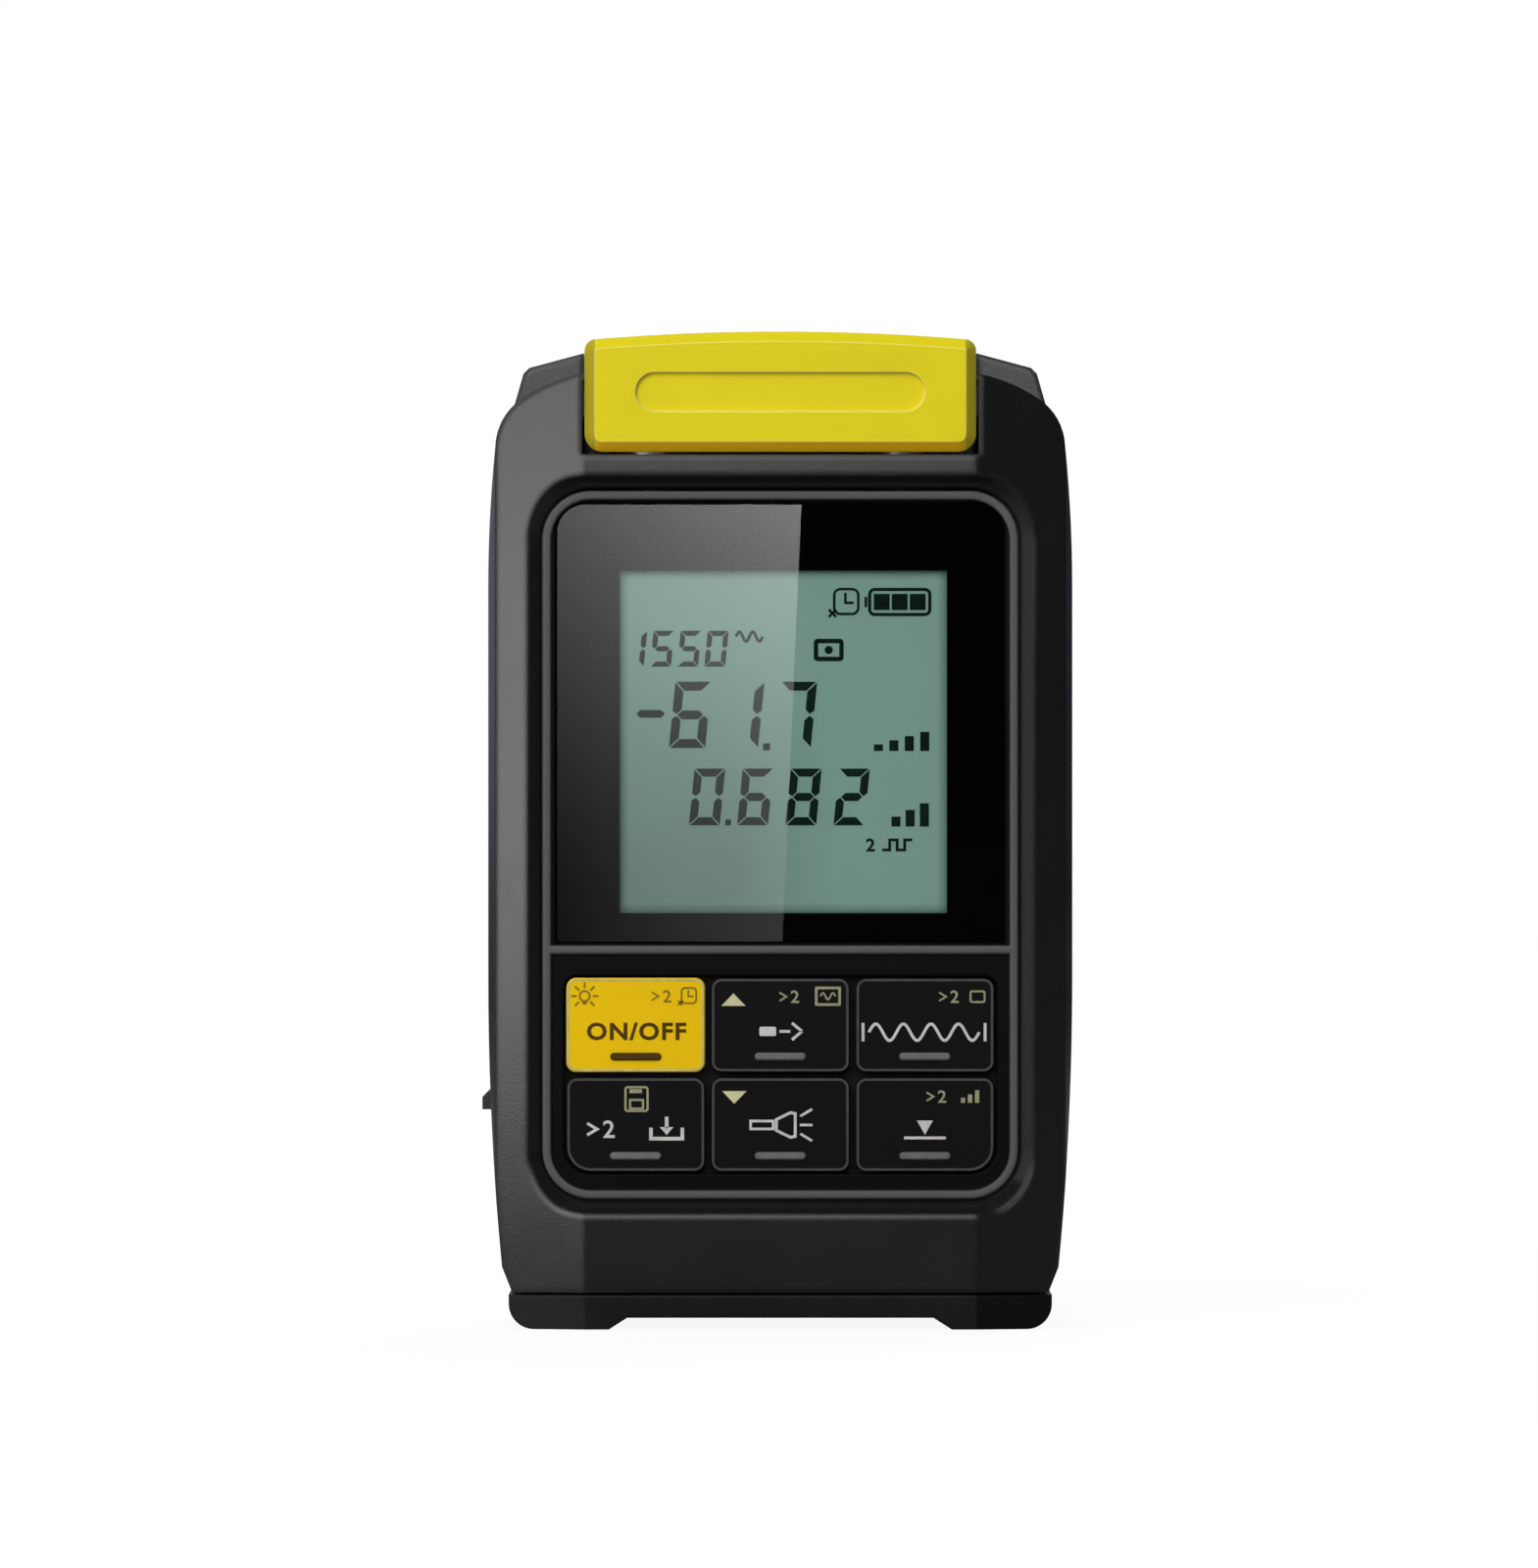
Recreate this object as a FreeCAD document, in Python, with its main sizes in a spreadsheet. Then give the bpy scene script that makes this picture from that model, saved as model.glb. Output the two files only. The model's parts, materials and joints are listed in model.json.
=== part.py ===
import FreeCAD, Part
import math
import os
import re

import Sketcher

# Optical power meter, standing on its two feet: X to the right, Y to the back, Z up.
# The origin is on the ground under the middle of the body. All sizes are in millimetres.

SIZES = [
    # outside form
    ("bodyWidth", 70.0, "across the widest part of the sides"),
    ("bodyDepth", 32.0, "from the front facet to the back facet"),
    ("overallHeight", 119.3, "from the feet to the crown of the port cover"),
    ("faceHalf", 23.4, "half width of the flat middle facets and of the port cover"),
    ("facetFall", 2.7, "how far a side facet falls back"),
    ("edgeStrip", 0.9, "width of the narrow strip beside a side facet"),
    ("edgeFall", 2.3, "how far that strip falls back"),
    ("wallThick", 2.0, "wall of the two half shells"),
    ("frontDeep", 17.0, "depth of the front shell"),
    ("seamGap", 0.3, "gap line between pieces of the outside"),
    ("fitGap", 0.3, "clearance round inner pieces"),
    # side line of the shells, as insets from the widest part and drops from the top
    ("bowStart", 42.0, "height where the side starts to bow in below"),
    ("bowDrop", 30.3, "drop from the top to where the side bows in above"),
    ("lowInset", 1.7, "inset of the side above the cut corner at the foot of the shells"),
    ("lowCut", 1.2, "width of the cut corner at the foot of the shells"),
    ("lowCutTall", 3.0, "height of that cut corner"),
    ("highInset", 0.9, "inset of the side at the shoulder"),
    ("shoulderDrop", 13.6, "drop to the start of the shoulder"),
    ("shoulderBend", 7.0, "radius of the shoulder"),
    ("shoulderInset", 3.8, "inset at the end of the shoulder bend"),
    ("shoulderEnd", 8.2, "drop to the end of the shoulder bend"),
    ("crownBend", 20.0, "radius from the shoulder to the crown"),
    ("crownDrop", 5.0, "drop to the crown of the front shell"),
    ("earBend", 7.7, "radius below the ear"),
    ("earNeckInset", 2.7, "inset of the neck of the ear"),
    ("earNeckDrop", 9.1, "drop to the neck of the ear"),
    ("earInset", 4.0, "inset of the side of the ear"),
    ("earDrop", 3.85, "drop to the outer corner of the ear"),
    ("earTip", 0.7, "cut of the outer corner of the ear"),
    ("earPeakDrop", 2.0, "drop to the inner corner of the ear"),
    # base cap
    ("capHeight", 4.1, "height of the base cap"),
    ("capInset", 2.5, "inset of the cap's side"),
    ("footBend", 3.0, "radius of the cap's lower corners"),
    ("footInside", 20.5, "inner edge of a foot at the ground"),
    ("archHalf", 18.3, "half width of the arch between the feet"),
    ("archRise", 1.4, "height of the arch between the feet"),
    ("padInset", 3.0, "inset of the pad on the cap that meets the shells"),
    # sunk panel and its bezel
    ("panelSink", 2.6, "from the front facet to the face of the bezel"),
    ("bezelHalf", 28.5, "half width of the bezel"),
    ("bezelLow", 15.5, "lower edge of the bezel"),
    ("bezelDrop", 4.3, "from the front rim down to the bezel"),
    ("bezelBend", 5.9, "corner radius of the bezel"),
    ("bezelThick", 1.5, "plate of the bezel"),
    ("panelGap", 0.15, "gap round the bezel"),
    ("slopeRun", 1.9, "run of the sloped walls above and below the bezel"),
    ("slopeSide", 5.0, "run of the sloped walls beside the bezel, up to the front plane"),
    ("slopeBend", 8.0, "corner radius at the top of the sloped walls"),
    ("rimWide", 1.1, "width of the raised rim and of the crossbar"),
    ("rimRise", 0.5, "height of the raised rim"),
    ("barLow", 44.8, "lower edge of the crossbar"),
    ("shelfThick", 1.5, "shelf behind the bezel"),
    # display
    ("glassRim", 0.55, "strip of bezel between the rim and the window's sides"),
    ("glassMargin", 1.5, "from the window to the top of the bezel"),
    ("glassBend", 3.5, "upper corners of the window"),
    ("glassThick", 1.0, "thickness of the window"),
    ("viewInset", 6.05, "from the window's side to the view hole"),
    ("viewLow", 2.8, "from the window's lower edge to the view hole"),
    ("viewDrop", 6.8, "from the window's upper edge to the view hole"),
    ("lcdMargin", 1.1, "how far the display reaches past the view hole"),
    ("lcdThick", 2.0, "thickness of the display"),
    ("backlightThick", 2.5, "thickness of the backlight"),
    # keys
    ("keyWide", 16.6, "width of a key"),
    ("keyTall", 11.3, "height of a key"),
    ("keyGapWide", 0.7, "gap between columns"),
    ("keyGapTall", 0.6, "gap between rows"),
    ("keyLow", 18.8, "lower edge of the lower row"),
    ("keyBend", 1.2, "corner radius of a key"),
    ("keyOuterBend", 2.9, "outer lower corner of the two end keys"),
    ("keyEdge", 0.25, "bevel round the front of a key"),
    ("keyProud", 0.4, "how far a key stands out of the bezel"),
    ("keyTravel", 0.5, "travel of a key"),
    ("keyStop", 0.1, "gap left under a key that is pressed home"),
    ("dashWide", 5.9, "raised dash on a key"),
    ("dashTall", 0.8, "height of the dash"),
    ("dashCut", 0.25, "cut corners of the dash"),
    ("dashRise", 0.2, "how far the dash stands out"),
    ("dashUp", 1.9, "from the lower edge of the key to the middle of the dash"),
    # port cover and its hinge
    ("coverDrop", 14.4, "height of the port cover"),
    ("coverArch", 0.9, "rise of the cover's arched top"),
    ("coverProud", 0.6, "how far the cover stands out of the front facet"),
    ("coverThick", 2.0, "wall of the cover"),
    ("coverBend", 2.2, "lower corners of the cover's front"),
    ("coverTopBend", 1.4, "upper corners of the cover"),
    ("coverEdge", 1.2, "bevel round the cover's front"),
    ("coverBack", 5.0, "radius of the cover's back, round the hinge pin"),
    ("skirtRise", 2.1, "how much higher than the front the sides of the cover end"),
    ("gripHalf", 17.3, "half width of the finger recess"),
    ("gripTall", 4.7, "height of the finger recess"),
    ("gripUp", 4.8, "from the cover's lower edge to the finger recess"),
    ("gripDepth", 0.6, "depth of the finger recess"),
    ("pinRadius", 0.8, "hinge pin"),
    ("pinPress", 0.05, "radial fit of the pin in the ears"),
    ("pinPlay", 0.1, "radial play of the cover on the pin"),
    ("pinReach", 3.0, "depth of the pin in each ear"),
    ("saddleDrop", 9.3, "drop to the rear wall under the cover"),
    # port deck
    ("deckThick", 2.0, "thickness of the deck"),
    ("deckSink", 0.3, "how far the deck lies below the front rim"),
    ("deckTongue", 2.1, "how far the deck reaches into its side grooves"),
    ("deckInset", 3.8, "from the front facet to the slot of the deck"),
    ("throatInset", 1.4, "how much narrower the throat under the deck is than the cover"),
    # ports
    ("portSide", 15.0, "from the middle to the ports beside the network socket"),
    ("portOffset", 4.3, "from the board to the two optical ports"),
    ("boreRadius", 1.25, "bore for a 2.5 mm ferrule"),
    ("meterFlange", 6.3, "flange radius of the power meter port"),
    ("meterBarrel", 4.0, "barrel radius of the power meter port"),
    ("meterRise", 8.0, "height of its barrel over the deck"),
    ("meterCup", 3.2, "inner radius of its barrel"),
    ("meterTube", 2.0, "radius of the tube that holds the ferrule"),
    ("tubeDrop", 0.8, "how far the tube ends below the barrel"),
    ("cupFloor", 3.0, "height of the floor between barrel and tube"),
    ("meterNeck", 4.2, "radius of the part that passes the deck"),
    ("flangeThick", 1.2, "flange of both ports"),
    ("neckReach", 4.0, "how far the ports reach below the deck's face"),
    ("laserFlange", 4.6, "flange radius of the laser port"),
    ("laserBarrel", 3.0, "barrel radius of the laser port"),
    ("laserRise", 6.5, "height of its barrel over the deck"),
    ("laserNeck", 3.2, "radius of the part that passes the deck"),
    ("neckGap", 0.2, "clearance round what passes the deck"),
    ("nutWall", 1.7, "wall of the nuts under the deck"),
    ("nutThick", 1.8, "thickness of those nuts"),
    ("nutPlay", 0.05, "radial play of the nuts"),
    ("diodeRadius", 2.35, "photodiode can"),
    ("diodeTall", 3.6, "height of the photodiode"),
    ("laserBody", 3.0, "radius of the laser module"),
    ("laserLong", 14.0, "length of the laser module"),
    ("torchRadius", 2.4, "radius of the torch lens"),
    ("torchOffset", 13.0, "from the board to the torch"),
    ("torchRise", 1.0, "straight part of the lens over the deck"),
    ("torchBevel", 0.6, "bevel round the top of the lens"),
    ("torchDip", 3.0, "how far the lens reaches below the deck's face"),
    ("ledSide", 3.4, "side of the torch light source"),
    ("ledThick", 1.5, "thickness of the torch light source"),
    # network socket
    ("jackHalf", 8.0, "half width of the network socket"),
    ("jackDeep", 14.0, "front to back size of the network socket"),
    ("jackTall", 19.0, "height of the network socket"),
    ("jackProud", 0.7, "how far it stands over the deck"),
    ("plugHalf", 5.95, "half width of its cavity"),
    ("plugDeep", 7.0, "front to back size of its cavity"),
    ("plugLong", 13.0, "depth of its cavity"),
    ("plugFront", 3.0, "wall in front of its cavity"),
    ("latchHalf", 3.1, "half width of the latch slot"),
    ("latchDeep", 2.4, "front to back size of the latch slot"),
    ("contactCount", 8, "contacts of the network socket"),
    ("contactWide", 0.4, "width of a contact"),
    ("contactPitch", 1.02, "pitch of the contacts"),
    ("contactRise", 0.7, "how far the contacts stand out of the wall"),
    ("contactLong", 9.0, "length of the contacts"),
    # main board
    ("boardSide", 0.8, "gap beside the board"),
    ("boardLow", 14.8, "lower edge of the board"),
    ("boardTopGap", 0.8, "from the board to the top of the cavity"),
    ("boardThick", 1.6, "thickness of the board"),
    ("postInset", 1.9, "from the side of the board to its screws"),
    ("postEnd", 3.0, "from the end of the board to its screws"),
    ("postRadius", 2.0, "posts that carry the board"),
    ("boardScrewRadius", 0.8, "shank of a board screw"),
    ("boardHeadRadius", 1.6, "head of a board screw"),
    ("boardHeadTall", 1.1, "height of that head"),
    ("boardScrewLong", 4.2, "shank length of a board screw"),
    ("screwPlay", 0.1, "radial play of screws"),
    ("chipSide", 10.0, "side of the processor"),
    ("chipThick", 1.4, "thickness of the chips"),
    ("chipUp", 62.0, "height of the processor's middle"),
    ("driverSide", 5.0, "side of the two small chips"),
    ("driverGap", 4.0, "from the processor to a small chip"),
    ("capacitorRadius", 2.2, "capacitors"),
    ("capacitorTall", 4.6, "height of the capacitors"),
    ("capacitorUp", 80.0, "height of the capacitors' middle"),
    ("capacitorSide", 22.0, "X of the capacitors"),
    ("buzzerRadius", 6.0, "buzzer"),
    ("buzzerTall", 3.0, "height of the buzzer"),
    ("buzzerSide", 18.0, "X of the buzzer"),
    ("buzzerUp", 26.0, "height of the buzzer's middle"),
    # charging socket and its flap
    ("usbUp", 33.0, "height of the charging socket's middle"),
    ("usbTall", 9.0, "long side of the charging socket"),
    ("usbDeep", 3.2, "short side of the charging socket"),
    ("usbLong", 7.4, "length of the charging socket"),
    ("usbBend", 1.3, "corner radius of the charging socket"),
    ("usbSink", 0.5, "from the seat of the flap to the socket's mouth"),
    ("usbWall", 0.3, "sheet of the charging socket"),
    ("usbBack", 1.0, "back wall of the charging socket"),
    ("tongueSink", 1.6, "from the mouth to the tongue"),
    ("tongueHalf", 3.2, "half length of the tongue"),
    ("usbTongue", 0.7, "thickness of its tongue"),
    ("flapLow", 26.1, "lower edge of the flap"),
    ("flapTall", 12.5, "height of the flap"),
    ("flapWide", 7.6, "front to back size of the flap"),
    ("flapThick", 1.1, "thickness of the flap"),
    ("flapSeat", 1.5, "depth of its seat in the widest wall"),
    ("flapLift", 0.2, "gap behind the flap"),
    ("lipReach", 1.0, "how far the pull lip stands out"),
    ("lipTall", 2.5, "height of the pull lip"),
    ("lipFace", 1.5, "height of its outer face"),
    ("plugReach", 0.9, "how far the flap's plug reaches in"),
    ("plugShrink", 0.5, "clearance of that plug in the socket"),
    # battery bay, door and pack
    ("doorHalf", 20.0, "half width of the battery door"),
    ("doorLow", 22.3, "lower edge of the battery door"),
    ("doorDrop", 6.3, "from the network socket down to the battery door"),
    ("doorThick", 1.8, "thickness of the battery door"),
    ("doorBend", 2.5, "corner radius of the battery door"),
    ("ledgeWide", 1.5, "ledge that carries the door"),
    ("bayFloor", 1.5, "floor between the battery and the board"),
    ("packLid", 0.6, "gap between the battery pack and its door"),
    ("packGap", 0.5, "clearance beside the battery pack"),
    ("packRise", 3.2, "room for the contacts under the pack"),
    ("packBend", 1.5, "edges of the battery pack"),
    ("tabSide", 10.0, "X of the door's tabs"),
    ("tabHalf", 3.0, "half width of a tab"),
    ("tabReach", 2.0, "how far a tab reaches under the wall"),
    ("tabThick", 1.1, "thickness of a tab's toe"),
    ("tabRoom", 0.8, "room round a tab when the door swings"),
    ("gripFieldDrop", 4.0, "from the top of the door to its grip field"),
    ("gripFieldDepth", 0.9, "depth of the grip field"),
    ("ribCount", 5, "grip ribs on the door"),
    ("ribPitch", 2.4, "pitch of the ribs"),
    ("ribHalf", 8.0, "half width of the ribs"),
    ("ribTall", 0.9, "height of a rib"),
    ("ribRise", 0.35, "how far the ribs stand out of the grip field"),
    ("holderTall", 1.0, "strip that holds the battery contacts"),
    ("holderHalf", 6.0, "half width of that strip"),
    ("springHalf", 3.0, "half length of a battery contact"),
    ("springWide", 1.6, "width of a battery contact"),
    ("springPitch", 3.6, "pitch of the battery contacts"),
    ("springThick", 0.3, "sheet of the battery contacts"),
    # case screws
    ("caseScrewLow", 9.4, "height of the lower case screws"),
    ("caseScrewInset", 7.5, "inset of the lower case screws"),
    ("topScrewDrop", 13.8, "drop to the upper case screws"),
    ("topScrewInset", 6.0, "inset of the upper case screws"),
    ("caseBoss", 2.8, "radius of the lower bosses"),
    ("caseScrewRadius", 1.1, "shank of a case screw"),
    ("caseHeadRadius", 2.1, "head of a case screw"),
    ("caseHeadTall", 1.6, "height of that head"),
    ("caseHeadSink", 5.0, "from the back facet to the seat of the head"),
    ("caseScrewLong", 16.0, "shank length of a case screw"),
    ("driveRadius", 0.9, "drive recess of the screws"),
    ("driveDepth", 0.8, "depth of that recess"),
]

# What follows from the sizes.
DERIVED = {
    "halfWidth": "bodyWidth / 2",
    "frontY": "-bodyDepth / 2",
    "backY": "bodyDepth / 2",
    "partingPlane": "frontY + frontDeep",
    "shellLow": "capHeight + seamGap",
    "bowHigh": "overallHeight - bowDrop",
    "shoulderZ": "overallHeight - shoulderDrop",
    "lowSpan": "bowStart - shellLow - lowCutTall",
    "lowBow": "(lowSpan * lowSpan + lowInset * lowInset) / (2 * lowInset)",
    "highSpan": "shoulderZ - bowHigh",
    "highBow": "(highSpan * highSpan + highInset * highInset) / (2 * highInset)",
    "crownZ": "overallHeight - crownDrop",
    "bezelFace": "frontY + panelSink",
    "bezelHigh": "rimZ - bezelDrop",
    "shelfFace": "bezelFace + bezelThick",
    "shelfBack": "shelfFace + shelfThick",
    "boardFront": "shelfFace + lcdThick + backlightThick",
    "boardBack": "boardFront + boardThick",
    "coverLow": "overallHeight - coverDrop",
    "rimZ": "coverLow - seamGap",
    "deckTop": "rimZ - deckSink",
    "deckLow": "deckTop - deckThick",
    "cavityTop": "deckLow - wallThick",
    "cavityLow": "shellLow + wallThick",
    "cavityHalf": "halfWidth - lowInset - wallThick",
    "wellHalf": "faceHalf + seamGap",
    "throatHalf": "faceHalf - throatInset",
    "grooveHalf": "faceHalf + deckTongue + fitGap",
    "slotFront": "frontY + deckInset",
    "slotBack": "backY - wallThick",
    "pinY": "backY - coverBack",
    "pinZ": "overallHeight - coverBack",
    "saddle": "coverBack + seamGap",
    "saddleZ": "overallHeight - saddleDrop",
    "coverFront": "frontY - coverProud",
    "coverInside": "coverFront + coverThick",
    "crownHalf": "faceHalf - coverTopBend",
    "coverCrown": "(crownHalf * crownHalf + coverArch * coverArch) / (2 * coverArch)",
    "skirtHalf": "faceHalf - coverThick",
    "glassHalf": "bezelHalf - rimWide - glassRim",
    "viewHalf": "glassHalf - viewInset",
    "glassLow": "barLow + rimWide + fitGap",
    "glassHigh": "bezelHigh - glassMargin",
    "holeLow": "glassLow + viewLow",
    "holeHigh": "glassHigh - viewDrop",
    "lcdHalf": "viewHalf + lcdMargin",
    "lcdLow": "holeLow - lcdMargin",
    "lcdHigh": "holeHigh + lcdMargin",
    "keypadHalf": "1.5 * keyWide + 1.5 * keyGapWide",
    "keypadLow": "keyLow - keyGapTall / 2",
    "keypadHigh": "keyLow + 2 * keyTall + 1.5 * keyGapTall",
    "matTop": "shelfFace + keyTravel + keyStop",
    "boardHalf": "cavityHalf - boardSide",
    "boardHigh": "cavityTop - boardTopGap",
    "postX": "boardHalf - postInset",
    "postLow": "boardLow + postEnd",
    "postHigh": "boardHigh - postEnd",
    "portBack": "boardBack + portOffset",
    "torchBack": "boardBack + torchOffset",
    "jackFront": "boardBack",
    "jackLow": "jackTop - jackTall",
    "jackTop": "deckTop + jackProud",
    "plugY": "jackFront + plugFront",
    "usbY": "boardBack + usbDeep / 2",
    "flapSeatX": "halfWidth - flapSeat",
    "flapInner": "flapSeatX + flapLift",
    "flapOuter": "flapInner + flapThick",
    "usbMouth": "flapSeatX - usbSink",
    "usbEnd": "usbMouth - usbLong",
    "doorFace": "backY - doorThick",
    "toeOuter": "doorFace - fitGap",
    "toeInner": "toeOuter - tabThick",
    "packLow": "bayLow + packRise",
    "springMid": "(bayInside + packBack) / 2",
    "doorHigh": "jackLow - doorDrop",
    "bayHalf": "doorHalf - ledgeWide",
    "bayLow": "doorLow + ledgeWide",
    "bayHigh": "doorHigh - ledgeWide",
    "bayInside": "partingPlane + bayFloor",
    "packBack": "doorFace - packLid",
    "topScrewZ": "overallHeight - topScrewDrop",
    "headSeat": "backY - caseHeadSink",
}

# Which origin plane a sketch lies on, and whether its normal runs along the axis or against it.
PLANES = {"front": ("XZ_Plane", -1), "side": ("YZ_Plane", 1), "top": ("XY_Plane", 1)}

doc = FreeCAD.newDocument("optical_power_meter")
sheet = doc.addObject("Spreadsheet::Sheet", "dims")
for row, (alias, number, note) in enumerate(SIZES, 1):
    sheet.set(f"A{row}", note)
    sheet.set(f"B{row}", str(number))
    sheet.setAlias(f"B{row}", alias)
doc.recompute()

aliases = {alias for alias, _, _ in SIZES}
subparts = []


# Formulas


def spell(formula):
    """Turn the names in a formula into references to the sheet."""

    def swap(found):
        word = found[0]
        if word in DERIVED:
            return f"({spell(DERIVED[word])})"
        return f"dims.{word}" if word in aliases else word

    return re.sub(r"[A-Za-z]\w*", swap, str(formula))


def value(formula):
    return float(sheet.evalExpression(spell(formula)))


def bind(thing, prop, formula):
    thing.setExpression(prop, spell(formula))


def place(thing, x="0", y="0", z="0"):
    """Set down a sub-part at a spot given by formulas."""
    for axis, formula in zip("xyz", (x, y, z)):
        bind(thing, f"Placement.Base.{axis}", formula)


# Outlines


def ring(x, y, radius):
    return {"circle": (x, y, radius)}


def rounded(left, right, low, high, *radii):
    """Rectangle with corner radii, from the lower left corner on, anticlockwise; None is a sharp corner."""
    first, second, third, fourth = radii if len(radii) == 4 else radii * 4 or [None] * 4
    corners = []
    for x, y, bend, (dx, dy), (ex, ey) in (
        (right, low, second, (-1, 0), (0, 1)),
        (right, high, third, (0, -1), (-1, 0)),
        (left, high, fourth, (1, 0), (0, -1)),
        (left, low, first, (0, 1), (1, 0)),
    ):
        if bend is None:
            corners.append((x, y))
            continue
        corners.append((f"{x} + {dx} * ({bend})", f"{y} + {dy} * ({bend})", bend))
        corners.append((f"{x} + {ex} * ({bend})", f"{y} + {ey} * ({bend})"))
    return corners


def centred(half, low, high, *radii):
    return rounded(f"-({half})", half, low, high, *radii)


def stadium(half, low, high, middle="0"):
    """Slot with round ends, centred on the middle."""
    bend = f"(({high}) - ({low})) / 2"
    return [
        (f"{middle} + {half} - {bend}", low, bend),
        (f"{middle} + {half}", f"({low}) + {bend}", bend),
        (f"{middle} + {half} - {bend}", high),
        (f"{middle} - ({half} - {bend})", high, bend),
        (f"{middle} - ({half})", f"({low}) + {bend}", bend),
        (f"{middle} - ({half} - {bend})", low),
    ]


def symmetric(half):
    """Close a right-hand half outline, drawn upwards, with its mirror image."""
    whole = list(half)
    for index in range(len(half) - 1, -1, -1):
        x, y = half[index][:2]
        bend = half[index - 1][2:] if index else ()
        whole.append((f"-({x})", y) + bend)
    return whole


def mirrored(corners):
    """Mirror image of a straight-sided outline."""
    return [(f"-({x})", y) for x, y in reversed(corners)]


def arc_between(start, end, radius):
    """Arc that leaves the outline bulging outwards, or inwards where the radius is negative."""
    chord = end - start
    reach = math.sqrt(max(radius * radius - chord.Length**2 / 4, 0))
    inward = FreeCAD.Vector(-chord.y, chord.x, 0).normalize()
    middle = (start + end) / 2 + inward * math.copysign(reach, radius)
    turn = [math.atan2((p - middle).y, (p - middle).x) for p in (start, end)]
    if radius < 0:
        turn.reverse()
    circle = Part.Circle(middle, FreeCAD.Vector(0, 0, 1), abs(radius))
    return Part.ArcOfCircle(circle, *turn)


# Features


def new_body(label):
    body = doc.addObject("PartDesign::Body", label)
    body.Label = label
    subparts.append(body)
    return body


def draw(body, plane, level, outlines):
    """Sketch closed outlines on an origin plane of the body, with every corner bound to the sheet."""
    role, way = PLANES[plane]
    sketch = body.newObject("Sketcher::SketchObject", f"{body.Label}_sketch")
    origin = next(item for item in body.Origin.OriginFeatures if item.Role == role)
    sketch.AttachmentSupport = (origin, "")
    sketch.MapMode = "FlatFace"
    bind(sketch, "AttachmentOffset.Base.z", f"{way} * ({level})")
    edges, rules, bound = [], [], []
    for outline in outlines:
        if "circle" in outline:
            x, y, radius = outline["circle"]
            centre = FreeCAD.Vector(value(x), value(y), 0)
            here = len(edges)
            edges.append(Part.Circle(centre, FreeCAD.Vector(0, 0, 1), value(radius)))
            for kind, formula in (("DistanceX", x), ("DistanceY", y)):
                rules.append(Sketcher.Constraint(kind, here, 3, value(formula)))
                bound.append(formula)
            rules.append(Sketcher.Constraint("Radius", here, value(radius)))
            bound.append(radius)
            continue
        first = len(edges)
        points = [FreeCAD.Vector(value(corner[0]), value(corner[1]), 0) for corner in outline]
        ends = []
        for index, corner in enumerate(outline):
            start, end = points[index], points[(index + 1) % len(points)]
            bend = value(corner[2]) if len(corner) > 2 else None
            edges.append(Part.LineSegment(start, end) if bend is None else arc_between(start, end, bend))
            ends.append((2, 1) if bend is not None and bend < 0 else (1, 2))
            if bend is not None:
                rules.append(Sketcher.Constraint("Radius", first + index, abs(bend)))
                bound.append(f"abs({corner[2]})")
        for index, corner in enumerate(outline):
            for kind, formula in zip(("DistanceX", "DistanceY"), corner):
                rules.append(Sketcher.Constraint(kind, first + index, ends[index][0], value(formula)))
                bound.append(formula)
            following = (index + 1) % len(outline)
            meet = (first + index, ends[index][1], first + following, ends[following][0])
            rules.append(Sketcher.Constraint("Coincident", *meet))
            bound.append(None)
    sketch.addGeometry(edges)
    sketch.addConstraint(rules)
    for index, formula in enumerate(bound):
        if formula is not None:
            bind(sketch, f"Constraints[{index}]", formula)
    return sketch


def extrude(kind, body, plane, start, end, *outlines):
    """Pad or Pocket the outlines from one level to another along the plane's axis."""
    before = body.Shape.Volume if body.Tip else 0
    feature = body.newObject(f"PartDesign::{kind}", f"{body.Label}_{kind.lower()}")
    feature.Profile = draw(body, plane, start, outlines)
    ahead = PLANES[plane][1] * (value(end) - value(start)) > 0
    feature.Reversed = ahead if kind == "Pocket" else not ahead
    bind(feature, "Length", f"abs(({end}) - ({start}))")
    body.Tip = feature
    doc.recompute()
    grown = body.Shape.Volume - before
    if (grown > 0) == (kind == "Pocket") or not grown:
        raise RuntimeError(f"{kind} on {body.Label} changed the volume by {grown:.3f}")
    return feature


def pad(body, plane, start, end, *outlines):
    return extrude("Pad", body, plane, start, end, *outlines)


def pocket(body, plane, start, end, *outlines):
    return extrude("Pocket", body, plane, start, end, *outlines)


def turned(body, outline):
    """Revolve an outline of the XZ plane round the upright axis."""
    feature = body.newObject("PartDesign::Revolution", f"{body.Label}_revolution")
    sketch = draw(body, "front", "0", [outline])
    feature.Profile = sketch
    feature.ReferenceAxis = (sketch, ["V_Axis"])
    feature.Angle = 360
    body.Tip = feature
    doc.recompute()
    return feature


def dress(kind, body, size, chosen):
    """Fillet or Chamfer the edges of the body that pass the test."""
    doc.recompute()
    names = [f"Edge{number}" for number, edge in enumerate(body.Shape.Edges, 1) if chosen(edge)]
    if not names:
        raise RuntimeError(f"no edge to dress on {body.Label}")
    base = body.Tip
    feature = body.newObject(f"PartDesign::{kind}", f"{body.Label}_{kind.lower()}")
    feature.Base = (base, names)
    bind(feature, "Radius" if kind == "Fillet" else "Size", size)
    body.Tip = feature
    doc.recompute()
    return feature


def lies_on(edge, axis, level):
    """Whether an edge lies wholly at one level of an axis."""
    box = edge.BoundBox
    span = {"x": (box.XMin, box.XMax), "y": (box.YMin, box.YMax), "z": (box.ZMin, box.ZMax)}[axis]
    return all(abs(side - value(level)) < 1e-4 for side in span)


# Shells


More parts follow.
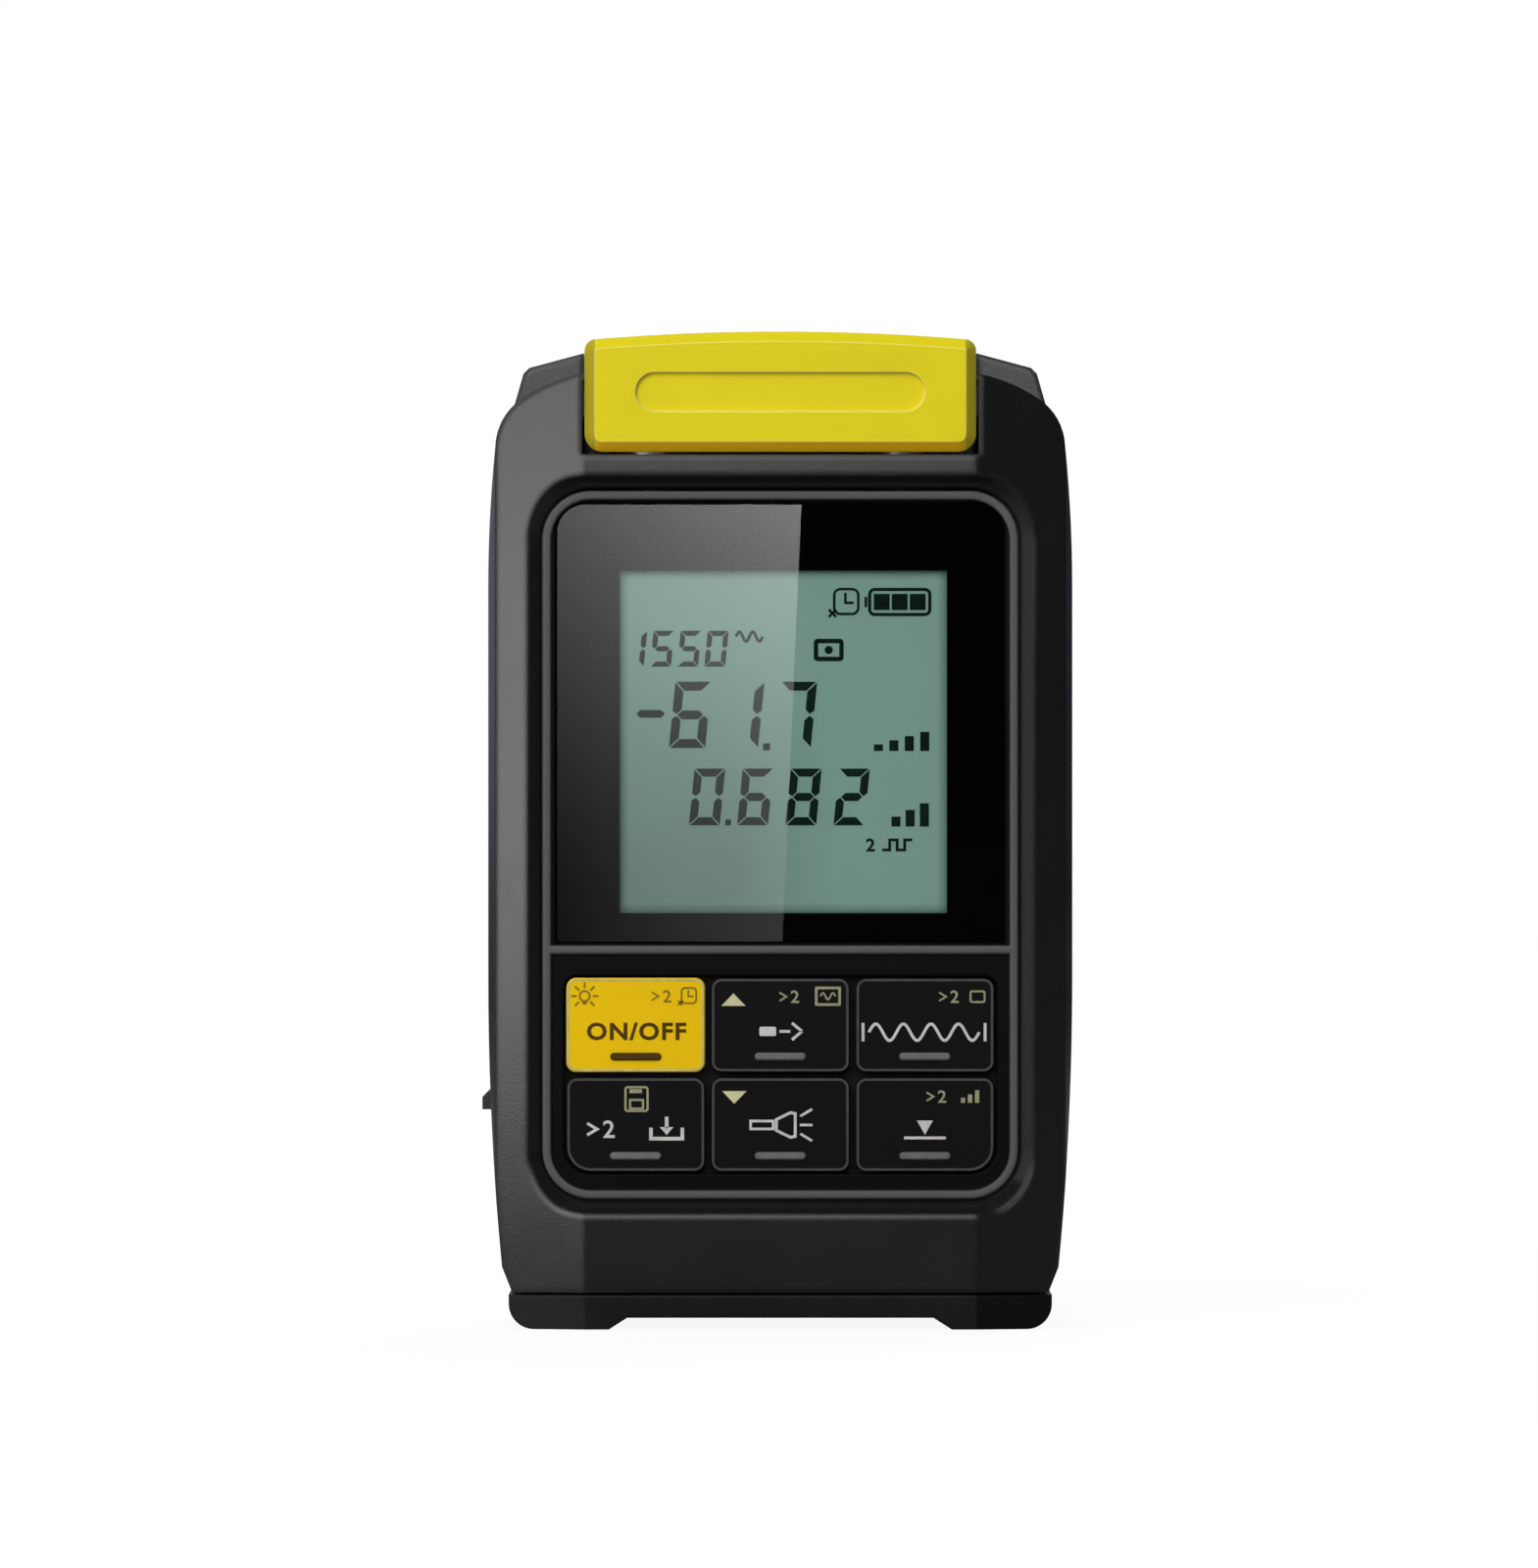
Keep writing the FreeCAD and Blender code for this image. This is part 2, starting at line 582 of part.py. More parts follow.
def side_line():
    """Right-hand side of both shells, from the foot up to the shoulder."""
    return [
        ("halfWidth - lowInset - lowCut", "shellLow"),
        ("halfWidth - lowInset", "shellLow + lowCutTall", "lowBow"),
        ("halfWidth", "bowStart"),
        ("halfWidth", "bowHigh", "highBow"),
    ]


def front_outline():
    return symmetric(
        side_line()
        + [
            ("halfWidth - highInset", "shoulderZ", "shoulderBend"),
            ("halfWidth - shoulderInset", "overallHeight - shoulderEnd", "crownBend"),
            ("faceHalf", "crownZ"),
        ]
    )


def rear_outline():
    """Like the front, but with an ear on each shoulder that holds the hinge pin."""
    return symmetric(
        side_line()
        + [
            ("halfWidth - highInset", "shoulderZ", "earBend"),
            ("halfWidth - earNeckInset", "overallHeight - earNeckDrop"),
            ("halfWidth - earInset", "overallHeight - earDrop - earTip"),
            ("halfWidth - earInset - earTip", "overallHeight - earDrop"),
            ("faceHalf", "overallHeight - earPeakDrop"),
        ]
    )


def cut_facets(body, level, way):
    """Slope both sides of the front (way -1) or the back (way 1) back from the middle facet."""
    face = f"({level})"
    corner = [
        ("faceHalf", face),
        ("halfWidth - edgeStrip", f"{face} - {way} * facetFall"),
        ("halfWidth", f"{face} - {way} * (facetFall + edgeFall)"),
        ("halfWidth + wallThick", f"{face} - {way} * (facetFall + edgeFall)"),
        ("halfWidth + wallThick", f"{face} + {way} * wallThick"),
        ("faceHalf", f"{face} + {way} * wallThick"),
    ]
    pocket(body, "top", "overallHeight + wallThick", "-wallThick", corner, mirrored(corner))


def deck_slot():
    """Throat and side grooves in which the port deck is held."""
    return symmetric(
        [
            ("throatHalf", "cavityTop - fitGap"),
            ("throatHalf", "deckLow"),
            ("grooveHalf", "deckLow"),
            ("grooveHalf", "deckTop"),
            ("wellHalf", "deckTop"),
            ("wellHalf", "rimZ + fitGap"),
        ]
    )


def case_screw_spots():
    lower = ("(halfWidth - caseScrewInset)", "caseScrewLow")
    upper = ("(halfWidth - topScrewInset)", "topScrewZ")
    return [(f"{side} * {across}", up) for across, up in (lower, upper) for side in (-1, 1)]


def board_post_spots():
    return [(f"{side} * postX", up) for up in ("postLow", "postHigh") for side in (-1, 1)]


def board_screw_spots():
    """The board is screwed to two of its posts, which face each other across it."""
    posts = board_post_spots()
    return [posts[0], posts[-1]]


def make_front_housing():
    body = new_body("front_housing")
    pad(body, "front", "partingPlane", "frontY", front_outline())
    cut_facets(body, "frontY", -1)

    # sloped walls down to the bezel
    outer = centred("bezelHalf + slopeSide", "bezelLow - slopeRun", "bezelHigh + slopeRun", "slopeBend")
    seat = centred(
        "bezelHalf + panelGap", "bezelLow - panelGap", "bezelHigh + panelGap", "bezelBend + panelGap"
    )
    slope = body.newObject("PartDesign::SubtractiveLoft", "panel_slope")
    slope.Profile = draw(body, "front", "frontY", [outer])
    slope.Sections = [draw(body, "front", "bezelFace", [seat])]
    slope.Ruled = True
    body.Tip = slope
    doc.recompute()
    pocket(body, "front", "bezelFace", "shelfFace", seat)

    # inside
    pocket(body, "front", "partingPlane", "shelfBack", centred("cavityHalf", "cavityLow", "cavityTop"))
    pocket(body, "front", "partingPlane", "slotFront", deck_slot())
    well = centred("wellHalf", "rimZ", "overallHeight")
    pocket(body, "front", "frontY - wallThick", "partingPlane", well)
    display = centred("lcdHalf + fitGap", "lcdLow - fitGap", "lcdHigh + fitGap")
    keypad = centred("keypadHalf + fitGap", "keypadLow - fitGap", "keypadHigh + fitGap")
    pocket(body, "front", "shelfFace - panelGap", "shelfBack", display, keypad)

    # bosses and posts with their holes
    bosses = [ring(x, z, "caseBoss") for x, z in case_screw_spots()[:2]]
    pad(body, "front", "shelfBack - panelGap", "partingPlane", *bosses)
    posts = [ring(x, z, "postRadius") for x, z in board_post_spots()]
    pad(body, "front", "shelfBack - panelGap", "boardFront", *posts)
    case_holes = [ring(x, z, "caseScrewRadius + screwPlay") for x, z in case_screw_spots()]
    pocket(body, "front", "partingPlane", "headSeat - caseScrewLong - fitGap", *case_holes)
    board_holes = [ring(x, z, "boardScrewRadius + screwPlay") for x, z in board_screw_spots()]
    pocket(body, "front", "boardFront", "boardBack - boardScrewLong - fitGap", *board_holes)

    # seat of the charging flap and the opening behind it
    flap = rounded(
        "usbY - flapWide / 2 - fitGap", "usbY + flapWide / 2 + fitGap", "flapLow - fitGap",
        "flapLow + flapTall + fitGap",
    )
    pocket(body, "side", "-halfWidth - wallThick", "-flapSeatX", flap)
    opening = rounded(
        "usbY - usbDeep / 2 - fitGap", "usbY + usbDeep / 2 + fitGap", "usbUp - usbTall / 2 - fitGap",
        "usbUp + usbTall / 2 + fitGap", "usbBend + fitGap",
    )
    pocket(body, "side", "-halfWidth - wallThick", "-cavityHalf + fitGap", opening)


def make_rear_housing():
    body = new_body("rear_housing")
    pad(body, "front", "partingPlane", "backY", rear_outline())
    cut_facets(body, "backY", 1)
    pocket(body, "front", "partingPlane", "slotBack", centred("cavityHalf", "cavityLow", "cavityTop"))
    pocket(body, "front", "partingPlane", "slotBack", deck_slot())
    pocket(body, "front", "partingPlane", "slotBack", centred("wellHalf", "rimZ", "overallHeight"))
    # the wall under the cover's round back
    saddle = centred("wellHalf", "saddleZ", "overallHeight")
    pocket(body, "front", "slotBack - fitGap", "backY + wallThick", saddle)
    pocket(body, "side", "-wellHalf", "wellHalf", ring("pinY", "pinZ", "saddle"))

    # battery bay, its door's seat and the rooms for the door's tabs
    margin = "doorHalf + seamGap + ledgeWide"
    pad(
        body, "front", "partingPlane", "backY - wallThick + panelGap",
        centred(margin, "doorLow - tabReach - ledgeWide", "doorHigh + seamGap + ledgeWide"),
    )
    pocket(body, "front", "backY + wallThick", "bayInside", centred("bayHalf", "bayLow", "bayHigh"))
    pocket(
        body, "front", "backY + wallThick", "doorFace",
        centred("doorHalf + seamGap", "doorLow - seamGap", "doorHigh + seamGap", "doorBend + seamGap"),
    )
    rooms = [
        rounded(
            f"{side} * tabSide - tabHalf - fitGap", f"{side} * tabSide + tabHalf + fitGap",
            "doorLow - tabReach - fitGap", "bayLow + fitGap",
        )
        for side in (-1, 1)
    ]
    pocket(body, "front", "doorFace", "toeInner - tabRoom", *rooms)

    bosses = [ring(x, z, "caseBoss") for x, z in case_screw_spots()[:2]]
    pad(body, "front", "partingPlane", "slotBack + panelGap", *bosses)
    shanks = [ring(x, z, "caseScrewRadius + screwPlay") for x, z in case_screw_spots()]
    pocket(body, "front", "backY + wallThick", "partingPlane - fitGap", *shanks)
    heads = [ring(x, z, "caseHeadRadius + screwPlay") for x, z in case_screw_spots()]
    pocket(body, "front", "backY + wallThick", "headSeat", *heads)
    pin = ring("pinY", "pinZ", "pinRadius + pinPress")
    pocket(body, "side", "-wellHalf - pinReach", "wellHalf + pinReach", pin)


def make_base_cap():
    body = new_body("base_cap")
    half = [
        ("archHalf", "archRise"),
        ("footInside", "0"),
        ("halfWidth - capInset - footBend", "0", "footBend"),
        ("halfWidth - capInset", "footBend"),
        ("halfWidth - capInset", "capHeight"),
    ]
    pad(body, "front", "backY", "frontY", symmetric(half))
    cut_facets(body, "frontY", -1)
    cut_facets(body, "backY", 1)
    tongue = rounded(
        "-cavityHalf", "cavityHalf", "frontY + facetFall + padInset", "backY - facetFall - padInset",
        "padInset",
    )
    pad(body, "top", "capHeight - seamGap", "shellLow", tongue)


# Port cover


def make_port_cover():
    """Yellow cover with an arched top, a front flange and a round back that turns on the pin."""
    body = new_body("port_cover")
    shape = [
        ("faceHalf - coverBend", "coverLow", "coverBend"),
        ("faceHalf", "coverLow + coverBend"),
        ("faceHalf", "overallHeight - coverArch - coverTopBend", "coverTopBend"),
        ("faceHalf - coverTopBend", "overallHeight - coverArch"),
    ]
    outline = symmetric(shape)
    outline[3] = outline[3] + ("coverCrown",)
    pad(body, "front", "coverFront", "backY", outline)
    dress("Chamfer", body, "coverEdge", lambda edge: lies_on(edge, "y", "coverFront"))

    # round back and raised lower edge of the sides
    clear = "overallHeight + wallThick"
    beyond = "backY + wallThick"
    lower = [
        ("coverInside", "coverLow + skirtRise"),
        ("coverInside", "coverLow - wallThick"),
        (beyond, "coverLow - wallThick"),
        (beyond, "pinZ"),
        ("backY", "pinZ", "-coverBack"),
        ("pinY", "pinZ - coverBack"),
    ]
    upper = [
        (beyond, "pinZ"),
        (beyond, clear),
        ("pinY", clear),
        ("pinY", "overallHeight", "-coverBack"),
        ("backY", "pinZ"),
    ]
    pocket(body, "side", "-faceHalf - wallThick", "faceHalf + wallThick", lower)
    pocket(body, "side", "-faceHalf - wallThick", "faceHalf + wallThick", upper)

    # hollow inside
    inner = "coverBack - coverThick"
    hollow = [
        ("coverInside", "coverLow - wallThick"),
        ("pinY", "coverLow - wallThick"),
        ("pinY", f"pinZ - ({inner})", inner),
        (f"pinY + {inner}", "pinZ", inner),
        ("pinY", f"pinZ + {inner}"),
        ("coverInside", f"pinZ + {inner}"),
    ]
    pocket(body, "side", "-skirtHalf", "skirtHalf", hollow)
    pin = ring("pinY", "pinZ", "pinRadius + pinPlay")
    pocket(body, "side", "-faceHalf - wallThick", "faceHalf + wallThick", pin)
    grip = stadium("gripHalf", "coverLow + gripUp", "coverLow + gripUp + gripTall")
    pocket(body, "front", "coverFront - wallThick", "coverFront + gripDepth", grip)


def make_port_cover_pin():
    pin = doc.addObject("Part::Cylinder", "port_cover_pin")
    bind(pin, "Radius", "pinRadius")
    bind(pin, "Height", "2 * (wellHalf + pinReach - fitGap)")
    pin.Placement.Rotation = FreeCAD.Rotation(FreeCAD.Vector(0, 1, 0), 90)
    place(pin, "-(wellHalf + pinReach - fitGap)", "pinY", "pinZ")
    subparts.append(pin)


# Deck and ports


def make_port_deck():
    body = new_body("port_deck")
    plate = centred("grooveHalf - fitGap", "slotFront + fitGap", "slotBack - fitGap")
    pad(body, "top", "deckLow", "deckTop", plate)
    jack = centred("jackHalf + neckGap", "jackFront - neckGap", "jackFront + jackDeep + neckGap")
    pocket(
        body, "top", "deckTop", "deckLow",
        ring("-portSide", "portBack", "meterNeck + neckGap"),
        ring("portSide", "portBack", "laserNeck + neckGap"),
        ring("portSide", "torchBack", "torchRadius + neckGap"),
        jack,
    )


def make_power_meter_port():
    """Flanged barrel with an inner tube that lines up the ferrule over the photodiode."""
    body = new_body("power_meter_port")
    turned(
        body,
        [
            ("boreRadius", "-neckReach"),
            ("meterNeck", "-neckReach"),
            ("meterNeck", "0"),
            ("meterFlange", "0"),
            ("meterFlange", "flangeThick"),
            ("meterBarrel", "flangeThick"),
            ("meterBarrel", "meterRise"),
            ("meterCup", "meterRise"),
            ("meterCup", "cupFloor"),
            ("meterTube", "cupFloor"),
            ("meterTube", "meterRise - tubeDrop"),
            ("boreRadius", "meterRise - tubeDrop"),
        ],
    )
    place(body, "-portSide", "portBack", "deckTop")


def make_laser_port():
    body = new_body("laser_port")
    turned(
        body,
        [
            ("boreRadius", "-neckReach"),
            ("laserNeck", "-neckReach"),
            ("laserNeck", "0"),
            ("laserFlange", "0"),
            ("laserFlange", "flangeThick"),
            ("laserBarrel", "flangeThick"),
            ("laserBarrel", "laserRise"),
            ("boreRadius", "laserRise"),
        ],
    )
    place(body, "portSide", "portBack", "deckTop")


def make_torch_lens():
    body = new_body("torch_lens")
    turned(
        body,
        [
            ("0", "-torchDip"),
            ("torchRadius", "-torchDip"),
            ("torchRadius", "torchRise"),
            ("torchRadius - torchBevel", "torchRise + torchBevel"),
            ("0", "torchRise + torchBevel"),
        ],
    )
    place(body, "portSide", "torchBack", "deckTop")


def upright_can(label, x, y, top, radius, height):
    can = doc.addObject("Part::Cylinder", label)
    bind(can, "Radius", radius)
    bind(can, "Height", height)
    place(can, x, y, f"({top}) - ({height})")
    return can


def box(label, x, y, z):
    """Box between a low and a high formula on each axis."""
    solid = doc.addObject("Part::Box", label)
    for prop, (low, high) in zip(("Length", "Width", "Height"), (x, y, z)):
        bind(solid, prop, f"({high}) - ({low})")
    place(solid, x[0], y[0], z[0])
    return solid


def group(label, pieces):
    """Several solids that make one node."""
    compound = doc.addObject("Part::Compound", label)
    compound.Links = pieces
    subparts.append(compound)


def nut(label, x, neck):
    blank = doc.addObject("Part::Prism", f"{label}_blank")
    blank.Polygon = 6
    bind(blank, "Circumradius", f"{neck} + nutWall")
    bind(blank, "Height", "nutThick")
    place(blank, x, "portBack", "deckLow - nutThick")
    hole = upright_can(f"{label}_hole", x, "portBack", "deckLow", f"{neck} + nutPlay", "nutThick")
    cut = doc.addObject("Part::Cut", label)
    cut.Base, cut.Tool = blank, hole
    return cut


def make_port_parts():
    nuts = [nut("meter_nut", "-portSide", "meterNeck"), nut("laser_nut", "portSide", "laserNeck")]
    group("port_nuts", nuts)
    under = "deckTop - neckReach"
    subparts.append(upright_can("photodiode", "-portSide", "portBack", under, "diodeRadius", "diodeTall"))
    subparts.append(upright_can("laser_module", "portSide", "portBack", under, "laserBody", "laserLong"))
    subparts.append(
        box(
            "torch_led",
            ("portSide - ledSide / 2", "portSide + ledSide / 2"),
            ("torchBack - ledSide / 2", "torchBack + ledSide / 2"),
            ("deckTop - torchDip - ledThick", "deckTop - torchDip"),
        )
    )


def make_network_socket():
    body = new_body("network_socket")
    pad(body, "top", "jackLow", "jackTop", centred("jackHalf", "jackFront", "jackFront + jackDeep"))
    cavity = [
        ("plugHalf", "plugY"),
        ("plugHalf", "plugY + plugDeep"),
        ("latchHalf", "plugY + plugDeep"),
        ("latchHalf", "plugY + plugDeep + latchDeep"),
    ]
    pocket(body, "top", "jackTop", "jackTop - plugLong", symmetric(cavity))
    contacts = []
    for step in range(int(value("contactCount"))):
        middle = f"({step} - (contactCount - 1) / 2) * contactPitch"
        contacts.append(
            box(
                f"contact_{step}",
                (f"{middle} - contactWide / 2", f"{middle} + contactWide / 2"),
                ("plugY", "plugY + contactRise"),
                ("jackTop - plugLong", "jackTop - plugLong + contactLong"),
            )
        )
    group("network_contacts", contacts)


# Panel


def make_panel_bezel():
    body = new_body("panel_bezel")
    outer = centred("bezelHalf", "bezelLow", "bezelHigh", "bezelBend")
    inner = centred(
        "bezelHalf - rimWide", "bezelLow + rimWide", "bezelHigh - rimWide", "bezelBend - rimWide"
    )
    pad(body, "front", "shelfFace", "bezelFace", outer)
    pad(body, "front", "bezelFace + panelGap", "bezelFace - rimRise", outer, inner)
    bar = centred("bezelHalf - rimWide / 2", "barLow", "barLow + rimWide")
    pad(body, "front", "bezelFace + panelGap", "bezelFace - rimRise", bar)
    dress("Chamfer", body, "rimWide / 4", lambda edge: lies_on(edge, "y", "bezelFace - rimRise"))
    window = centred(
        "glassHalf + panelGap", "glassLow - panelGap", "glassHigh + panelGap",
        None, None, "glassBend", "glassBend",
    )
    pocket(body, "front", "bezelFace - panelGap", "bezelFace + glassThick", window)
    view = centred("viewHalf", "holeLow", "holeHigh")
    low, high = "keyOuterBend + keyGapWide / 2", "keyBend + keyGapWide / 2"
    keypad = centred("keypadHalf", "keypadLow", "keypadHigh", low, low, high, high)
    pocket(body, "front", "bezelFace - panelGap", "shelfFace", view, keypad)


def make_display():
    window = new_body("display_window")
    outline = centred("glassHalf", "glassLow", "glassHigh", None, None, "glassBend", "glassBend")
    pad(window, "front", "bezelFace + glassThick", "bezelFace", outline)
    panel = new_body("lcd_panel")
    sheet_outline = centred("lcdHalf", "lcdLow", "lcdHigh")
    pad(panel, "front", "shelfFace + lcdThick", "shelfFace", sheet_outline)
    backlight = new_body("backlight")
    pad(backlight, "front", "boardFront", "shelfFace + lcdThick", sheet_outline)


def make_keypad_mat():
    body = new_body("keypad_mat")
    pad(body, "front", "boardFront", "matTop", centred("keypadHalf", "keypadLow", "keypadHigh"))


def make_key(label, column, row):
    """Key cap, drawn round the middle of its own lower edge, with a raised dash."""
    body = new_body(label)
    face = "-(bezelThick + keyProud)"
    radii = ["keyBend"] * 4
    if row == 0 and column:
        radii[0 if column < 0 else 1] = "keyOuterBend"
    pad(body, "front", "0", face, centred("keyWide / 2", "0", "keyTall", *radii))
    dress("Chamfer", body, "keyEdge", lambda edge: lies_on(edge, "y", face))
    dash = symmetric(
        [
            ("dashWide / 2 - dashCut", "dashUp - dashTall / 2"),
            ("dashWide / 2", "dashUp - dashTall / 2 + dashCut"),
            ("dashWide / 2", "dashUp + dashTall / 2 - dashCut"),
            ("dashWide / 2 - dashCut", "dashUp + dashTall / 2"),
        ]
    )
    pad(body, "front", f"{face} + keyEdge", f"{face} - dashRise", dash)
    place(
        body,
        f"{column} * (keyWide + keyGapWide)",
        "shelfFace",
        f"keyLow + {row} * (keyTall + keyGapTall)",
    )


def make_keys():
    rows = (
        ("key_save", "key_torch", "key_reference"),
        ("key_power", "key_laser", "key_wavelength"),
    )
    for row, labels in enumerate(rows):
        for column, label in zip((-1, 0, 1), labels):
            make_key(label, column, row)


# Board


def lying_can(label, x, z, front, back, radius):
    can = doc.addObject("Part::Cylinder", label)
    can.Placement.Rotation = FreeCAD.Rotation(FreeCAD.Vector(1, 0, 0), -90)
    bind(can, "Radius", radius)
    bind(can, "Height", f"({back}) - ({front})")
    place(can, x, front, z)
    return can


def screw(label, x, z, seat, length, shank, head, rise):
    """Plain screw that points to the front."""
    parts = [
        lying_can(f"{label}_shank", x, z, f"{seat} - {length}", seat, shank),
        lying_can(f"{label}_head", x, z, seat, f"{seat} + {rise}", head),
    ]
    joined = doc.addObject("Part::Fuse", label)
    joined.Base, joined.Tool = parts
    return joined


def with_drive(blank, x, z, seat, rise):
    """Cut a hexagonal drive into the head of a screw."""
    drive = doc.addObject("Part::Prism", f"{blank.Label}_drive")
    drive.Placement.Rotation = FreeCAD.Rotation(FreeCAD.Vector(1, 0, 0), -90)
    drive.Polygon = 6
    bind(drive, "Circumradius", "driveRadius")
    bind(drive, "Height", "driveDepth")
    place(drive, x, f"{seat} + {rise} - driveDepth", z)
    cut = doc.addObject("Part::Cut", f"{blank.Label}_driven")
    cut.Base, cut.Tool = blank, drive
    return cut


def make_screws():
    case = []
    for number, (x, z) in enumerate(case_screw_spots()):
        blank = screw(f"case_screw_{number}", x, z, "headSeat", "caseScrewLong", "caseScrewRadius",
                      "caseHeadRadius", "caseHeadTall")
        case.append(with_drive(blank, x, z, "headSeat", "caseHeadTall"))
    group("case_screws", case)
    board = [
        screw(f"board_screw_{number}", x, z, "boardBack", "boardScrewLong", "boardScrewRadius",
              "boardHeadRadius", "boardHeadTall")
        for number, (x, z) in enumerate(board_screw_spots())
    ]
    group("board_screws", board)


def make_main_board():
    body = new_body("main_board")
    pad(body, "front", "boardBack", "boardFront", centred("boardHalf", "boardLow", "boardHigh"))
    holes = [ring(x, z, "boardScrewRadius + screwPlay") for x, z in board_screw_spots()]
    pocket(body, "front", "boardBack", "boardFront", *holes)
    on_board = ("boardBack", "boardBack + chipThick")
    chips = [
        box("processor", ("-chipSide / 2", "chipSide / 2"), on_board,
            ("chipUp - chipSide / 2", "chipUp + chipSide / 2"))
    ]
    for side in (-1, 1):
        near = f"{side} * (chipSide / 2 + driverGap + driverSide / 2)"
        chips.append(
            box(f"driver_{side + 1}", (f"{near} - driverSide / 2", f"{near} + driverSide / 2"), on_board,
                ("chipUp - driverSide / 2", "chipUp + driverSide / 2"))
        )
        chips.append(
            lying_can(f"capacitor_{side + 1}", f"{side} * capacitorSide", "capacitorUp", "boardBack",
                      "boardBack + capacitorTall", "capacitorRadius")
        )
    group("board_components", chips)
    subparts.append(
        lying_can("buzzer", "buzzerSide", "buzzerUp", "boardBack", "boardBack + buzzerTall", "buzzerRadius")
    )


# Charging socket


def usb_outline(inset):
    across, up = f"(usbDeep / 2 - ({inset}))", f"(usbTall / 2 - ({inset}))"
    return rounded(
        f"usbY - {across}", f"usbY + {across}", f"usbUp - {up}", f"usbUp + {up}", f"usbBend - ({inset})"
    )


def make_charging_socket():
    body = new_body("charging_socket")
    pad(body, "side", "-usbEnd", "-usbMouth", usb_outline("0"))
    pocket(body, "side", "-usbMouth", "-usbEnd - usbBack", usb_outline("usbWall"))
    tongue = rounded(
        "usbY - usbTongue / 2", "usbY + usbTongue / 2", "usbUp - tongueHalf", "usbUp + tongueHalf"
    )
    pad(body, "side", "-usbEnd - usbBack + usbWall", "-usbMouth + tongueSink", tongue)


def make_charging_port_flap():
    """Soft flap that swings up from its top edge, with a pull lip and a plug for the socket."""
    body = new_body("charging_port_flap")
    plate = rounded("usbY - flapWide / 2", "usbY + flapWide / 2", "flapLow", "flapLow + flapTall")
    pad(body, "side", "-flapInner", "-flapOuter", plate)
    lip = [
        ("-flapInner", "flapLow"),
        ("-flapInner", "flapLow + lipTall"),
        ("-flapOuter", "flapLow + lipTall"),
        ("-flapOuter - lipReach", "flapLow + lipFace"),
        ("-flapOuter - lipReach", "flapLow"),
    ]
    pad(body, "front", "usbY + flapWide / 2 - flapThick", "usbY - flapWide / 2 + flapThick", lip)
    plug = usb_outline("usbWall + plugShrink")
    pad(body, "side", "-flapInner", "-flapInner + plugReach", plug)


# Battery


def make_battery_door():
    """Door that hooks in with two tabs below and swings out from there."""
    body = new_body("battery_door")
    pad(body, "front", "doorFace", "backY", centred("doorHalf", "doorLow", "doorHigh", "doorBend"))
    toe = [
        ("doorFace + panelGap", "doorLow"),
        ("doorFace + panelGap", "doorLow + 2 * tabThick"),
        ("toeInner", "doorLow + 2 * tabThick"),
        ("toeInner", "doorLow - tabReach"),
        ("toeOuter", "doorLow - tabReach"),
        ("toeOuter", "doorLow"),
    ]
    for side in (-1, 1):
        pad(body, "side", f"{side} * tabSide - tabHalf", f"{side} * tabSide + tabHalf", toe)
    field = "ribCount * ribPitch + ribTall"
    top = "doorHigh - gripFieldDrop"
    grip = centred("ribHalf + ribTall", f"{top} - ({field})", top, "ribTall")
    pocket(body, "front", "backY", "backY - gripFieldDepth", grip)
    ribs = []
    for step in range(int(value("ribCount"))):
        low = f"{top} - ({field}) + ribTall + {step} * ribPitch"
        ribs.append(centred("ribHalf", low, f"{low} + ribTall"))
    pad(body, "front", "backY - gripFieldDepth - panelGap", "backY - gripFieldDepth + ribRise", *ribs)


def make_battery_pack():
    body = new_body("battery_pack")
    outline = centred("bayHalf - packGap", "packLow", "bayHigh - packGap", "packBend")
    pad(body, "front", "packBack", "bayInside", outline)


def make_battery_contacts():
    """Strip with three sprung leaves that press on the foot of the battery pack."""
    body = new_body("battery_contacts")
    strip = rounded("springMid - springHalf - holderTall", "springMid + springHalf + holderTall",
                    "bayLow", "bayLow + holderTall")
    pad(body, "side", "-holderHalf", "holderHalf", strip)
    base = "bayLow + holderTall - springThick"
    leaf = [
        ("springMid - springHalf", base),
        ("springMid - springHalf + springThick", base),
        ("springMid - springHalf / 2 + springThick", "packLow - springThick"),
        ("springMid + springHalf / 2 - springThick", "packLow - springThick"),
        ("springMid + springHalf - springThick", base),
        ("springMid + springHalf", base),
        ("springMid + springHalf / 2", "packLow"),
        ("springMid - springHalf / 2", "packLow"),
    ]
    for step in (-1, 0, 1):
        middle = f"{step} * springPitch"
        pad(body, "side", f"{middle} - springWide / 2", f"{middle} + springWide / 2", leaf)


# Build and write


for make in (
    make_front_housing,
    make_rear_housing,
    make_base_cap,
    make_port_cover,
    make_port_cover_pin,
    make_port_deck,
    make_power_meter_port,
    make_laser_port,
    make_torch_lens,
    make_port_parts,
    make_network_socket,
    make_panel_bezel,
    make_display,
    make_keypad_mat,
    make_keys,
    make_main_board,
    make_screws,
    make_charging_socket,
    make_charging_port_flap,
    make_battery_door,
    make_battery_pack,
    make_battery_contacts,
):
    make()

doc.recompute()
for thing in doc.Objects:
    if {"Invalid", "Error"} & set(thing.State):
        raise RuntimeError(f"{thing.Label} failed: {thing.State}")
for subpart in subparts:
    if subpart.Shape.isNull() or not subpart.Shape.isValid():
        raise RuntimeError(f"{subpart.Label} has no valid shape")

os.makedirs("parts", exist_ok=True)
for subpart in subparts:
    subpart.Shape.exportStep(f"parts/{subpart.Label}.step")
    print(f"{subpart.Label}: {len(subpart.Shape.Solids)} solid(s), {subpart.Shape.Volume:.1f} mm3")
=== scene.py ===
import json
import math

import bmesh
import bpy
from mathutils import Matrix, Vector
from mathutils.geometry import tessellate_polygon


